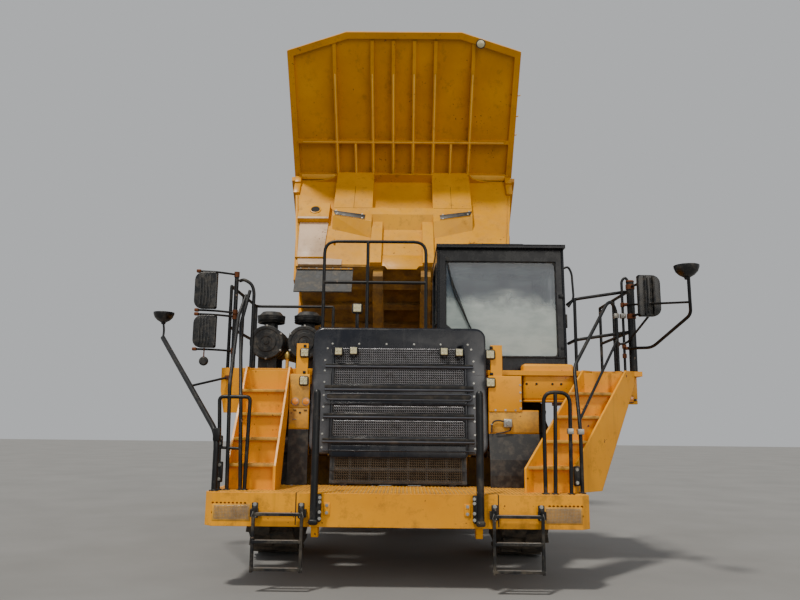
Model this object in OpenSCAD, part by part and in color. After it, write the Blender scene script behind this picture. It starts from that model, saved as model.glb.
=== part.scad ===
// Rigid off-highway haul truck with its bed raised.
// X runs across (+X is the cab side), Y runs rearward from the bumper, Z is up from the ground.

/* [Wheels and track] */
// Front axle behind the bumper's face
front_axle_y = 2400; // [2380:10:2450]
// Distance between the axles
wheelbase = 4100; // [4050:10:4300]
// Outer diameter of every tyre
tyre_d = 2170; // [2000:10:2200]
// Section width of every tyre
tyre_w = 655; // [600:5:680]
// Diameter of the rim's seat
rim_d = 900; // [850:10:950]
// Centre of a front tyre from the middle
front_track_half = 1600; // [1580:10:1650]
// Centre of an inner rear tyre from the middle
rear_inner_x = 1090; // [1080:5:1120]
// Spacing of the twin rear tyres
twin_spacing = 810; // [780:5:850]
// Steering pivot of a front wheel from the middle
king_x = 1100; // [1080:5:1100]
// Lugs round each tread
lug_count = 22; // [16:1:24]
// Depth of the tread
lug_depth = 50; // [20:5:60]

/* [Frame] */
// Centre of a frame rail from the middle
rail_x = 450; // [440:5:455]
// Width of a rail
rail_w = 140; // [120:5:140]
// Depth of a rail
rail_h = 440; // [400:10:460]
// Top of the rails above the ground
rail_top = 1400; // [1380:5:1410]
// Radius of the front suspension housings
strut_r = 150; // [130:5:160]

/* [Bumper and steps] */
// Half of the bumper's width
bumper_half = 2020; // [1950:10:2050]
// Underside of the bumper
bumper_low = 640; // [600:10:680]
// Top of the bumper and its walkway
bumper_top = 980; // [950:10:1000]
// Depth of the walkway from the face
walk_depth = 1030; // [1000:10:1030]
// Steps from the walkway to a deck
step_count = 5; // [4:1:6]
// Width of a stair
stair_w = 500; // [480:10:520]

/* [Hood and decks] */
// Half of the hood's width at its top
hood_half = 1070; // [1030:10:1090]
// Top of the hood
hood_top = 2890; // [2850:10:2930]
// Lower edge of the hood's shell
hood_foot = 1340; // [1300:10:1400]
// Top of both decks
deck_top = 2370; // [2360:5:2400]
// Thickness of a deck
deck_t = 90; // [60:5:100]
// Outer edge of the deck beside the hood
right_deck_x = 2200; // [2100:10:2250]
// Outer edge of the box on the cab side
left_deck_x = 3000; // [2900:10:3050]

/* [Cab] */
// Inner side of the cab
cab_x0 = 480; // [470:5:500]
// Outer side of the cab
cab_x1 = 2150; // [2100:10:2200]
// Foot of the windshield behind the bumper's face
cab_y0 = 1450; // [1430:5:1500]
// Length of the cab
cab_len = 1350; // [1300:10:1380]
// Floor of the cab
cab_floor = 2480; // [2460:5:2500]
// Top of the cab's roof
cab_roof = 4000; // [3950:10:4050]
// Thickness of the cab's walls
cab_wall = 60; // [50:5:70]

/* [Bed] */
// Bed hinge behind the bumper's face
hinge_y = 7520; // [7480:10:7560]
// Bed hinge above the ground
hinge_z = 1380; // [1370:5:1400]
// How far the bed is raised
raise_angle = 48.5; // [46:0.5:50]
// Half of the bed's width at its floor
bed_half = 1965; // [1900:10:2000]
// Lean of the side walls
side_lean = 6.5; // [5:0.5:8]
// Thickness of the bed's plates
bed_t = 40; // [30:5:60]
// Half of the canopy's width at the lip
lip_half = 2285; // [2250:5:2300]

/* [Hoist] */
// Hoist cylinder from the middle
hoist_x = 630; // [625:1:632]
// Lower hoist pin behind the bumper's face
hoist_y = 5500; // [5460:10:5520]
// Lower hoist pin above the ground
hoist_z = 650; // [620:10:680]
// Upper hoist pin, forward of the bed's hinge
hoist_bed_a = 2000; // [1950:10:2050]
// Upper hoist pin, above the bed's hinge when the bed is down
hoist_bed_b = 600; // [580:5:620]
// Radius of the hoist's barrel
barrel_r = 90; // [80:1:90]

/* [Hidden] */
$fn = 32;

// Colours
yellow = [0.86, 0.62, 0.10];
dark = [0.11, 0.12, 0.14];
steel = [0.35, 0.35, 0.36];
rubber = [0.06, 0.06, 0.06];
chrome = [0.75, 0.76, 0.78];
glass = [0.30, 0.40, 0.42, 0.5];
lamp_glass = [0.85, 0.85, 0.80];
fabric = [0.18, 0.18, 0.20];

// Shared places
clear = 5;
tyre_r = tyre_d / 2;
rear_axle_y = front_axle_y + wheelbase;
rear_outer_x = rear_inner_x + twin_spacing;
neck_r = 175;
seat = 0.3;
nose_ball_y = 4500;
nose_ball_z = 780;
nose_ball_half = 110;
strut_mount_x = 660;
strut_mount_y = 7200;
strut_mount_z = 1290;

// Bed profile beside the hinge: a is forward of it and b above it with the bed down
tip_a = 7500;
tip_b = 3300;
joint_a = 4600;
joint_b = 3100;
wall_foot_a = 3930;
floor_b = 378;
floor_slope = 12;
tail_a = -1950;
tail_top_b = 2500;
tail_b = floor_under(tail_a);

function floor_under(a) = floor_b + (wall_foot_a - a) * tan(floor_slope);

// A bed point as [along the floor from its front edge, square to the floor]
function on_floor(a, b) = [
    (wall_foot_a - a) * cos(floor_slope) + (b - floor_b) * sin(floor_slope),
    (b - floor_b) * cos(floor_slope) - (wall_foot_a - a) * sin(floor_slope)
];

// Front and rear reach, which put the part's middle over the origin
dome_x = 3300;
dome_r = 136;
dome_y = 20;
dome_back = 1750;
guard_r = 55;
guard_y = -70;
front_reach = guard_y - guard_r;
tail_back = -tail_a * cos(raise_angle) + tail_top_b * sin(raise_angle);
rear_reach = hinge_y + tail_back;
mid_y = (front_reach + rear_reach) / 2;

// Puts a piece that is drawn from the bumper's face over the origin
module placed() {
    translate([0, -mid_y, 0]) children();
}

// Turns what is drawn with the bed down to the raised pose
module raised() {
    placed() translate([0, hinge_y, hinge_z]) rotate([-raise_angle, 0, 0]) children();
}

// Box between two corners
module box(x0, x1, y0, y1, z0, z1) {
    translate([x0, y0, z0]) cube([x1 - x0, y1 - y0, z1 - z0]);
}

// Both sides of the truck
module both_sides() {
    children();
    mirror([1, 0, 0]) children();
}

// Round bar between two points
module rod(p, q, r) {
    d = q - p;
    n = norm(d);
    translate(p) rotate([0, acos(d[2] / n), atan2(d[1], d[0])]) cylinder(r = r, h = n);
}

// Bar along a list of points with a ball at each bend
module bar(points, r) {
    for (i = [0:len(points) - 2]) rod(points[i], points[i + 1], r);
    for (i = [1:1:len(points) - 2]) translate(points[i]) sphere(r = r * 1.08);
}

// Cylinder along X from x0 to x1
module shaft(x0, x1, y, z, r) {
    translate([x0, y, z]) rotate([0, 90, 0]) cylinder(r = r, h = x1 - x0);
}

// Plate that stands across X, from an outline of [y, z]
module side_plate(x0, x1, outline) {
    translate([x0, 0, 0]) rotate([90, 0, 90]) linear_extrude(x1 - x0) polygon(outline);
}

// Frame
rail_low = rail_top - rail_h;
rail_front = walk_depth + 5;
eye_clear = 185;
rail_back = hinge_y - eye_clear;
pivot_r = 110;
lug_x = 345;
lug_t = 45;
bracket_top = 920;
tower_y0 = front_axle_y - 230;
tower_y1 = front_axle_y + 230;
tower_top = deck_top - deck_t;

module rail() {
    rear_low = tyre_r + neck_r + 20;
    side_plate(rail_x - rail_w / 2, rail_x + rail_w / 2, [
        [rail_front, bracket_top], [1250, bracket_top], [1330, rail_low], [5500, rail_low],
        [rear_axle_y - 400, rear_low], [rear_axle_y + 400, rear_low], [hinge_y - 350, rear_low - 80],
        [rail_back, rear_low - 80], [rail_back, rail_top], [rail_front, rail_top]
    ]);
}

module strut_tower() {
    translate([0, tower_y1, 0]) rotate([90, 0, 0]) linear_extrude(tower_y1 - tower_y0) polygon([
        [rail_x - rail_w / 2, rail_top - 200], [rail_x + rail_w / 2, rail_top - 200],
        [king_x - 200, rail_top + 150], [king_x + 40, rail_top + 150], [king_x + 40, tower_top],
        [rail_x - rail_w / 2, tower_top]
    ]);
    translate([king_x, front_axle_y, rail_top + 150])
        cylinder(r = strut_r + 14, h = tower_top - rail_top - 150);
}

module frame() color(steel) placed() {
    difference() {
        union() {
            both_sides() {
                rail();
                strut_tower();
                side_plate(rail_x - rail_w / 2, rail_x + rail_w / 2, [
                    [hoist_y - 320, rail_low + 10], [hoist_y - 90, hoist_z - 70], [hoist_y + 90, hoist_z - 70],
                    [hoist_y + 260, rail_low + 40]
                ]);
                shaft(rail_x, hoist_x + 75, hoist_y, hoist_z, 45);
                for (side = [-1, 1])
                    side_plate(nose_ball_half + seat, nose_ball_half + seat + 30, [
                        [nose_ball_y + 10, nose_ball_z - 80], [nose_ball_y + 180, nose_ball_z - 80],
                        [nose_ball_y + 180, rail_low + 260], [nose_ball_y - 80, rail_low + 260]
                    ]);
            }
            for (y = [1320, 4060, nose_ball_y + 40, 5750])
                shaft(-rail_x, rail_x, y, rail_low + rail_h * 0.6, 120);
            shaft(-strut_mount_x, strut_mount_x, strut_mount_y, strut_mount_z, 70);
            box(-rail_x, rail_x, tower_y0, tower_y1, tower_top - 160, tower_top);
            box(-rail_x, rail_x, hinge_y - 400, hinge_y - eye_clear - 20, rail_top - 320, rail_top - 60);
            both_sides() side_plate(lug_x - lug_t, lug_x, [
                [hinge_y - 380, rail_top - 300], [hinge_y + 60, hinge_z - 150], [hinge_y + 130, hinge_z - 60],
                [hinge_y + 130, hinge_z + 60], [hinge_y + 60, hinge_z + 130], [hinge_y - 60, hinge_z + 130],
                [hinge_y - 380, rail_top - 80]
            ]);
            shaft(-beam_x - beam_w / 2 - 30, beam_x + beam_w / 2 + 30, hinge_y, hinge_z, pivot_r);
        }
        both_sides() {
            translate([king_x, front_axle_y, rail_top])
                cylinder(r = strut_r + seat, h = tower_top - rail_top - 60 + seat);
            shaft(-1, beam_x + beam_w / 2 + 31, hinge_y, hinge_z, 60);
        }
    }
}

// Bumper with its walkway
bumper_d = 260;
end_plate_x0 = 1520;
tow_x = 860;

module bumper_face_outline() {
    polygon([
        [-bumper_half, 90], [-bumper_half + 90, 0], [bumper_half - 90, 0], [bumper_half, 90],
        [bumper_half, walk_depth], [-bumper_half, walk_depth]
    ]);
}

module end_plate_slots() {
    for (row = [0:3], column = [0:8])
        translate([end_plate_x0 + 45 + 42 * column + (row % 2) * 21, -1, bumper_low + 85 + 48 * row])
            rotate([-90, 0, 0]) cylinder(r = 14, h = 40, $fn = 6);
}

module bumper() color(yellow) placed() {
    difference() {
        translate([0, 0, bumper_low]) linear_extrude(bumper_top - bumper_low) bumper_face_outline();
        box(-bumper_half - 1, bumper_half + 1, bumper_d, walk_depth + 1, bumper_low - 1, bumper_top - 60);
        both_sides() end_plate_slots();
    }
    both_sides() {
        difference() {
            side_plate(tow_x - 35, tow_x + 35, [
                [60, bumper_low - 110], [160, bumper_low - 110], [200, bumper_low + 1], [20, bumper_low + 1]
            ]);
            shaft(tow_x - 40, tow_x + 40, 110, bumper_low - 55, 28);
        }
        box(rail_x - 60, rail_x + 60, bumper_d, 1240, bumper_top - 260, bracket_top);
    }
}

// Guard tubes that stand on the bumper beside the grille
module guard_tubes() color(dark) placed() {
    both_sides() {
        rod([860, guard_y, 730], [860, guard_y, 2000], guard_r);
        translate([860, guard_y, 2000]) sphere(r = guard_r);
        for (z = [770, 900]) box(840, 880, guard_y, 0, z - 20, z + 20);
    }
}

// Hanging ladders in front of the bumper
ladder_w = 500;
ladder_foot = 215;
module ladder(x) {
    for (side = [-1, 1])
        box(x + side * ladder_w / 2 - 15, x + side * ladder_w / 2 + 15, -85, -45, ladder_foot - 15, 830);
    for (k = [0:2]) {
        z = ladder_foot + 15 + k * 270;
        box(x - ladder_w / 2, x + ladder_w / 2, -90, -40, z - 15, z + 15);
    }
    for (side = [-1, 1])
        box(x + side * ladder_w / 2 - 40, x + side * ladder_w / 2 + 40, -46, 0, 740, 820);
}

module ladders() color(yellow) placed() {
    ladder(-1230);
    ladder(1250);
}

// Stairs from the walkway to the decks
rise = (deck_top - bumper_top) / step_count;
tread_d = 230;
right_stair_x = -bumper_half + 420;
riser_t = 10;
right_stair_y = 300;
stair_run = 175;

module tread(x, w, y, z) {
    box(x - w / 2, x + w / 2, y, y + tread_d, z - 35, z);
}

// Treads and risers of one stair, between its two side plates
module flight(x) {
    for (k = [1:step_count - 1]) {
        y = right_stair_y + stair_run * (k - 1);
        tread(x, stair_w, y, bumper_top + rise * k);
        box(x - stair_w / 2, x + stair_w / 2, y + tread_d - riser_t, y + tread_d, bumper_top + rise * k - 36,
            bumper_top + rise * (k + 1) - 34);
    }
    box(x - stair_w / 2, x + stair_w / 2, right_stair_y + 60, right_stair_y + 60 + riser_t, bumper_top,
        bumper_top + rise - 34);
}

module right_stairs() color(yellow) placed() {
    top_y = right_stair_y + stair_run * (step_count - 1);
    flight(right_stair_x);
    for (side = [-1, 1]) {
        x = right_stair_x + side * (stair_w / 2 + 10);
        side_plate(x - 12, x + 12, [
            [right_stair_y - 20, bumper_top], [right_stair_y + 330, bumper_top],
            [deck_front, deck_top - 40], [deck_front, deck_top + 10], [top_y + 40, deck_top + 10],
            [right_stair_y - 20, bumper_top + rise - 20]
        ]);
    }
}

// The cab side's stairs climb outward as they go back
left_stair_x = 1420;
left_stair_out = 195;

module left_stairs() color(yellow) placed() {
    slant = left_stair_out / stair_run;
    x = left_stair_x + stair_w / 2;
    multmatrix([[1, slant, 0, -slant * right_stair_y], [0, 1, 0, 0], [0, 0, 1, 0]]) {
        flight(x);
        for (side = [-1, 1]) {
            edge = x + side * (stair_w / 2 + 10);
            side_plate(edge - 12, edge + 12, [
                [right_stair_y - 20, bumper_top], [right_stair_y + 330, bumper_top],
                [deck_front, deck_top - 160], [deck_front, deck_top], [deck_front - 120, deck_top],
                [right_stair_y - 20, bumper_top + rise - 20]
            ]);
        }
    }
}

// Hood with its wide nose
nose_back = 1150;
nose_tail = 1420;
nose_y = 950;
hood_left = 430;
hood_right = -950;
hood_back = 3040;
hood_wall = 50;
grille_half = 810;
grille_head = 2640;

module nose_outline() {
    polygon([
        [nose_y, hood_foot], [nose_back, hood_foot], [nose_back, deck_top - deck_t - 10],
        [nose_tail, deck_top - deck_t - 10], [nose_tail, hood_top - 60], [nose_tail - 80, hood_top],
        [nose_back + 40, hood_top], [nose_back, hood_top - 40]
    ]);
}

module hood() color(dark) placed() {
    difference() {
        translate([-hood_half, 0, 0]) rotate([90, 0, 90]) linear_extrude(2 * hood_half) nose_outline();
        box(-grille_half, grille_half, nose_y - 10, 1500, hood_foot - 1, grille_head);
        box(-hood_half + hood_wall, hood_half - hood_wall, nose_back + 60, nose_tail + 1,
            deck_top - deck_t - 20, hood_top - 110);
    }
    difference() {
        box(hood_right, hood_left, 1400, hood_back, deck_top - deck_t, hood_top - 90);
        box(hood_right + hood_wall, hood_left - hood_wall, 1390, hood_back - hood_wall, deck_top - deck_t - 1,
            hood_top - 90 - hood_wall);
    }
}

// Grille in the nose, leaning with its face
lean = atan2(nose_back - nose_y, hood_top - 40 - hood_foot);
grille_foot = 1010;
grille_t = 40;
bar_count = 11;
post_count = 7;

module grille_frame() {
    translate([0, nose_y + 12, hood_foot]) rotate([-lean, 0, 0]) children();
}

module grille() color(dark) placed() {
    low = (grille_foot - hood_foot) / cos(lean);
    high = (grille_head - seat - hood_foot) / cos(lean) - 6;
    grille_frame() {
        for (i = [0:bar_count]) {
            z = low + i * (high - low - 40) / bar_count;
            box(-grille_half + seat, grille_half - seat, 0, grille_t, z, z + 40);
        }
        for (i = [0:post_count]) {
            x = -grille_half + seat + i * (2 * (grille_half - seat) - 30) / post_count;
            box(x, x + 30, 5, grille_t - 5, low, high);
        }
    }
    for (side = [-1, 1]) box(side * 640 - 40, side * 640 + 40, nose_y - 20, nose_y + 10, bumper_top, grille_foot + 20);
    box(-680, 680, nose_back + 20, nose_back + 190, rail_top, grille_head - 80);
}

// Engine and gearbox as one plain block on the rails
module engine() color(steel) placed() {
    box(-rail_x + rail_w / 2 + 5, rail_x - rail_w / 2 - 5, 1500, 3150, 1150, 2100);
    box(-330, 330, 3149, 3900, 1080, 1460);
    for (y = [1650, 3000]) box(-rail_x, rail_x, y - 60, y + 60, rail_top, rail_top + 60);
}

// Decks over the front wheels
deck_front = 1160;
deck_back = 2960;
box_low = 1990;

module right_deck() color(yellow) placed() {
    box(-right_deck_x, -hood_half - 2, deck_front, deck_back, deck_top - deck_t, deck_top);
    box(-hood_half - 3, hood_right - 2, nose_tail + 5, deck_back, deck_top - deck_t, deck_top);
    box(-right_deck_x, -hood_half - 2, deck_front, deck_front + 60, deck_top - 190, deck_top);
    box(-right_deck_x, -right_deck_x + 60, deck_front, deck_back, deck_top - 190, deck_top);
    translate([0, deck_front + 40, 0]) rotate([90, 0, 0]) linear_extrude(40) polygon([
        [-right_deck_x, deck_top - 190], [-right_deck_x, deck_top - 280], [-right_deck_x + 50, deck_top - 550],
        [-right_deck_x + 240, deck_top - 550], [-right_deck_x + 240, deck_top - 189]
    ]);
}

module left_deck() color(yellow) placed() {
    box(hood_left + 2, hood_half + 3, nose_tail + 5, deck_back, deck_top - deck_t, deck_top);
    box(hood_half + 2, left_deck_x, deck_front + 240, deck_back, deck_top - deck_t, deck_top);
    box(hood_half + 2, left_deck_x, deck_front, deck_front + 241, deck_top - 60, deck_top);
    box(hood_half + 2, left_deck_x, deck_front + 240, deck_front + 300, deck_top - 190, deck_top);
    box(1550, left_deck_x, deck_front + 240, deck_front + 300, box_low, deck_top);
    box(2220, left_deck_x, deck_front + 240, 2850, box_low, deck_top - deck_t + 1);
}

// Columns and flaps beside the nose
panel_y = nose_back - 165;
flap_top_left = 1600;
flap_top_right = 1630;
module front_panels() color(yellow) placed() {
    for (side = [-1, 1]) {
        x0 = side < 0 ? -1320 : hood_half + 10;
        x1 = side < 0 ? -hood_half - 10 : 1480;
        x2 = side < 0 ? x1 : 1680;
        box(x0, x1, panel_y, panel_y + 40, 1880, deck_top - 80);
        box(x0, x2, panel_y + 10, panel_y + 30, side < 0 ? flap_top_right : flap_top_left, 1881);
        box(side * 1180 - 70, side * 1180 + 70, panel_y, panel_y + 40, deck_top - 81, 2660);
        box(side * 1180 - 60, side * 1180 + 60, panel_y + 39, deck_front, deck_top - 60, deck_top - 20);
    }
}

// Rubber flaps between the walkway and the panels
module fender_flaps() color(dark) placed() {
    box(-1320, -hood_half - 10, panel_y, panel_y + 30, bumper_top, flap_top_right - seat);
    side_plate(hood_half + 10, 1680, [
        [panel_y + 30, flap_top_left - seat], [panel_y + 5, flap_top_left - seat], [panel_y - 95, 1300],
        [panel_y - 115, 1120], [panel_y - 115, bumper_top], [panel_y - 90, bumper_top], [panel_y - 90, 1120],
        [panel_y - 70, 1300]
    ]);
}

// Air cleaners on the deck beside the hood
module air_cleaner(x) {
    translate([x, 1500, deck_top + 360]) rotate([-90, 0, 0]) {
        cylinder(r = 212, h = 620);
        translate([0, 0, -30]) cylinder(r = 150, h = 40);
    }
    translate([x, 1760, deck_top + 500]) cylinder(r = 90, h = 180);
    translate([x, 1760, deck_top + 640]) rotate_extrude()
        polygon([[0, 0], [150, 0], [175, 30], [175, 90], [120, 150], [0, 160]]);
    for (y = [1600, 2000]) box(x - 120, x + 120, y - 25, y + 25, deck_top, deck_top + 200);
}

module air_cleaners() color(yellow) placed() {
    air_cleaner(-1720);
    air_cleaner(-1230);
}

// Cab
cab_y1 = cab_y0 + cab_len;
cab_low = deck_top;
sill = 2900;
head = 3830;
door_y0 = cab_y0 + 520;
door_y1 = cab_y1 - 90;
door_gap = 8;
door_t = cab_wall;

module cab_side_outline() {
    polygon([[cab_y0, cab_low], [cab_y1, cab_low], [cab_y1, cab_roof], [cab_y0 + 60, cab_roof]]);
}

module windshield_cut() {
    translate([0, cab_y0 + 400, 0]) rotate([90, 0, 0]) linear_extrude(600) polygon([
        [cab_x0 + 110, sill + 80], [cab_x0 + 600, cab_floor + 90], [cab_x1 - 110, cab_floor + 90],
        [cab_x1 - 110, head], [cab_x0 + 110, head]
    ]);
}

module door_way(grow) {
    box(cab_x1 - cab_wall - 5, cab_x1 + 5, door_y0 - grow, door_y1 + grow, cab_floor + 60 - grow, head + 40 + grow);
}

module cab_shell() color(dark) placed() {
    difference() {
        translate([cab_x0, 0, 0]) rotate([90, 0, 90]) linear_extrude(cab_x1 - cab_x0) cab_side_outline();
        box(cab_x0 + cab_wall, cab_x1 - cab_wall, cab_y0 + 75, cab_y1 - cab_wall, cab_floor, cab_roof - 90);
        windshield_cut();
        door_way(door_gap);
        box(cab_x1 - cab_wall - 5, cab_x1 + 5, cab_y0 + 130, door_y0 - 70, sill, head);
        box(cab_x0 - 5, cab_x0 + cab_wall + 5, cab_y0 + 160, cab_y1 - 160, sill + 100, head);
        box(cab_x0 + 200, cab_x1 - 200, cab_y1 - cab_wall - 5, cab_y1 + 5, sill + 100, head);
    }
    box(cab_x0 - 10, cab_x1 + 10, cab_y0 - 20, cab_y1 + 10, cab_roof - 1, cab_roof + 45);
    for (z = door_hinge_z) {
        translate([hinge_pin_x, hinge_pin_y, z - 95]) cylinder(r = 12, h = 190);
        for (side = [-1, 1]) {
            z0 = side < 0 ? z - 95 : z + 52;
            translate([hinge_pin_x, hinge_pin_y, z0]) cylinder(r = 24, h = 43);
            box(cab_x1 - 1, hinge_pin_x + 24, hinge_pin_y, door_y1 + 70, z0, z0 + 43);
        }
    }
}

module cab_glass() color(glass) placed() {
    intersection() {
        windshield_cut();
        side_plate(cab_x0, cab_x1, [
            [cab_y0 + 30, cab_low], [cab_y0 + 42, cab_low], [cab_y0 + 102, cab_roof], [cab_y0 + 90, cab_roof]
        ]);
    }
    box(cab_x1 - 36, cab_x1 - 24, cab_y0 + 130, door_y0 - 70, sill, head);
    box(cab_x0 + 24, cab_x0 + 36, cab_y0 + 160, cab_y1 - 160, sill + 100, head);
    box(cab_x0 + 200, cab_x1 - 200, cab_y1 - 36, cab_y1 - 24, sill + 100, head);
}

seat_x = 1280;
seat_y = cab_y0 + 620;

module cab_interior() color(fabric) placed() {
    box(seat_x - 180, seat_x + 180, seat_y + 40, seat_y + 400, cab_floor, cab_floor + 330);
    box(seat_x - 260, seat_x + 260, seat_y, seat_y + 520, cab_floor + 330, cab_floor + 460);
    side_plate(seat_x - 250, seat_x + 250, [
        [seat_y + 400, cab_floor + 459], [seat_y + 520, cab_floor + 459], [seat_y + 620, cab_floor + 1120],
        [seat_y + 520, cab_floor + 1120]
    ]);
    side_plate(cab_x0 + 160, cab_x1 - 160, [
        [cab_y0 + 160, cab_floor], [cab_y0 + 330, cab_floor], [cab_y0 + 330, cab_floor + 520],
        [cab_y0 + 170, cab_floor + 560]
    ]);
    rod([seat_x, cab_y0 + 320, cab_floor + 430], [seat_x, cab_y0 + 560, cab_floor + 700], 35);
    translate([seat_x, cab_y0 + 565, cab_floor + 705]) rotate([50, 0, 0]) {
        rotate_extrude() translate([210, 0]) circle(r = 18);
        cylinder(r = 50, h = 30, center = true);
        for (turn = [0:120:240]) rotate(turn) translate([0, -15, -8]) cube([210, 30, 16]);
    }
}

// Cab door, hinged at its rear edge
hinge_pin_y = door_y1 + 4;
hinge_pin_x = cab_x1 + 30;
door_hinge_z = [cab_floor + 350, head - 250];

module cab_door() color(dark) placed() {
    difference() {
        door_way(0);
        box(cab_x1 - cab_wall - 10, cab_x1 - door_t, door_y0 - 50, door_y1 + 50, cab_floor, cab_roof);
        box(cab_x1 - cab_wall - 10, cab_x1 + 10, door_y0 + 80, door_y1 - 80, sill, head - 30);
        box(cab_x1, cab_x1 + 10, door_y0 - 50, door_y1 + 50, cab_floor, cab_roof);
    }
    for (z = door_hinge_z) difference() {
        union() {
            box(cab_x1 - 5, cab_x1 + 44, door_y1 - 100, door_y1 - 6, z - 50, z + 50);
            translate([hinge_pin_x, hinge_pin_y, z - 50]) cylinder(r = 24, h = 100);
        }
        translate([hinge_pin_x, hinge_pin_y, z - 51]) cylinder(r = 12 + seat, h = 102);
    }
    bar([[cab_x1 - 5, door_y0 + 50, 2750], [cab_x1 + 60, door_y0 + 50, 2750], [cab_x1 + 60, door_y0 + 50, 3250],
        [cab_x1 - 5, door_y0 + 50, 3250]], 14);
}

module door_glass() color(glass) placed() {
    box(cab_x1 - 36, cab_x1 - 24, door_y0 + 80, door_y1 - 80, sill, head - 30);
}

// Handrails on the hood, the decks and the stairs
rail_r = 22;
hoop_y = 1300;
hoop_top = 4030;

hoop_x0 = -980;
hoop_x1 = 330;
guard_h = 1060;
gate_top = 2060;
gate_y = 150;
left_rail_x = left_deck_x - 40;
left_rail_y = deck_front + 280;
right_rail_y = deck_front + 170;
right_rail_x = -right_deck_x + 30;

module post(x, y) {
    rod([x, y, deck_top], [x, y, deck_top + guard_h], rail_r);
}

module handrails() color(yellow) placed() {
    foot = bumper_top + 1;
    brace_r = rail_r - 4;
    bar([[hoop_x0, hoop_y, hood_top], [hoop_x0, hoop_y, hoop_top - 110], [hoop_x0 + 110, hoop_y, hoop_top],
        [hoop_x1 - 110, hoop_y, hoop_top], [hoop_x1, hoop_y, hoop_top - 110], [hoop_x1, hoop_y, hood_top]], rail_r);
    rod([hoop_x0, hoop_y, 3490], [hoop_x1, hoop_y, 3490], rail_r);
    rod([-420, hoop_y, hood_top], [-420, hoop_y, hoop_top], rail_r);
    for (y = [right_rail_y, 2040, deck_back - 60]) post(right_rail_x, y);
    post(hood_right - 60, deck_back - 60);
    for (z = [deck_top + guard_h / 2, deck_top + guard_h]) {
        bar([[right_rail_x, right_rail_y, z], [right_rail_x, deck_back - 60, z],
            [hood_right - 60, deck_back - 60, z]], rail_r);
        bar([[left_rail_x, 2800, z], [left_rail_x, left_rail_y, z], [cab_x1 + 110, left_rail_y, z - 110],
            [cab_x1 + 110, cab_y0 + 400, z - 110]], rail_r);
    }
    for (y = [left_rail_y, 2120, 2800]) post(left_rail_x, y);
    post(2260, left_rail_y);
    // Three-barred gate at the foot of the left stairs
    bar([[1575, gate_y, foot], [1580, gate_y, gate_top], [1765, gate_y, gate_top - 5],
        [1865, gate_y, gate_top - 130], [1850, gate_y, foot]], rail_r);
    rod([1682, gate_y, foot], [1708, gate_y, gate_top], rail_r);
    // Hoop and brace that follow the left stairs
    bar([[1995, 260, bumper_top], [1995, 260, 1650], [2028, 600, 2370], [2590, 1150, 3210], [2660, 1200, 3255],
        [2733, 1250, 3155], [2733, 1250, deck_top]], rail_r);
    rod([2000, 311, 1758], [2733, 1250, 2770], brace_r);
    // Hoop and gate of the right stairs
    bar([[-1845, 255, foot], [-1870, 255, 2120], [-1985, 1000, 3000], [-1945, 1190, 3290]], rail_r);
    bar([[-1700, 255, foot], [-1740, 255, 1975], [-1965, 1050, 2900], [-1900, 1190, 3350]], rail_r);
    bar([[-1940, 255, foot], [-1950, 255, 1480], [-1975, 255, 1980], [-1635, 255, 1980], [-1655, 255, foot]],
        rail_r);
    rod([-1950, 255, 1430], [-1718, 255, 1420], brace_r);
    bar([[-2045, 1240, 3484], [-1986, 1200, 3495], [-1885, 1200, 3440], [-1850, 1200, 3341],
        [-1850, 1200, deck_top]], rail_r);
}

// Mirrors on their arms
module dome(x, y, z) {
    translate([x, y, z]) rotate_extrude() polygon([
        [0, 0], [dome_r, 0], [dome_r, -12], [118, -62], [80, -105], [35, -130], [0, -136]
    ]);
}

module flat_mirror(x0, x1, y, z0, z1) {
    box(x0, x1, y, y + 60, z0, z1);
    box(x0 + 20, x1 - 20, y + 59, y + 66, z0 + 20, z1 - 20);
}

module right_mirrors() color(dark) placed() {
    x = -dome_x + dome_r;
    flat_mirror(-2550, -2275, 1000, 3090, 3548);
    flat_mirror(-2540, -2262, 1000, 2605, 3005);
    rod([-2088, 1240, deck_top], [-2088, 1240, 3600], 28);
    for (z = [3565, 3072, 3022, 2586]) bar([[-2090, 1240, z], [-2300, 1090, z], [-2520, 1045, z]], 14);
    rod([-2400, 1045, 2586], [-2400, 1045, 2490], 8);
    translate([-2400, 1045, 2440]) rotate([90, 0, 0]) cylinder(r = 58, h = 30, center = true);
    bar([[-bumper_half + 70, 130, bumper_top], [-bumper_half + 70, 130, 1580], [x + 25, 1700, 2800]], 32);
    rod([x + 25, 1700, 2780], [x, dome_back, 3020], 14);
    rod([-2480, 828, 2122], [-2115, 1146, 2250], 14);
    dome(x, dome_back, 3140);
}

module left_mirrors() color(dark) placed() {
    x = dome_x - dome_r;
    post_x = left_deck_x - 55;
    flat_mirror(2880, 3145, 800, 3010, 3510);
    rod([post_x, 1310, deck_top], [post_x, 1310, 3530], 50);
    for (z = [3460, 3080]) rod([post_x, 1310, z], [post_x + 60, 835, z], 16);
    bar([[2850, 1350, deck_top], [2850, 1350, 3550], [2900, 1345, 3600], [post_x, 1320, 3500]], 18);
    bar([[post_x - 60, 1310, 2675], [3045, 900, 2640], [x + 70, 150, 2930], [x + 28, 50, 3040],
        [x + 15, dome_y, 3320]], 19);
    rod([post_x - 60, 1340, 3235], [x + 34, 80, 3056], 13);
    bar([[2750, 1300, 2722], [2870, 1290, 2736], [3080, 870, 3100]], 14);
    dome(x, dome_y, 3448);
}

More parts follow.
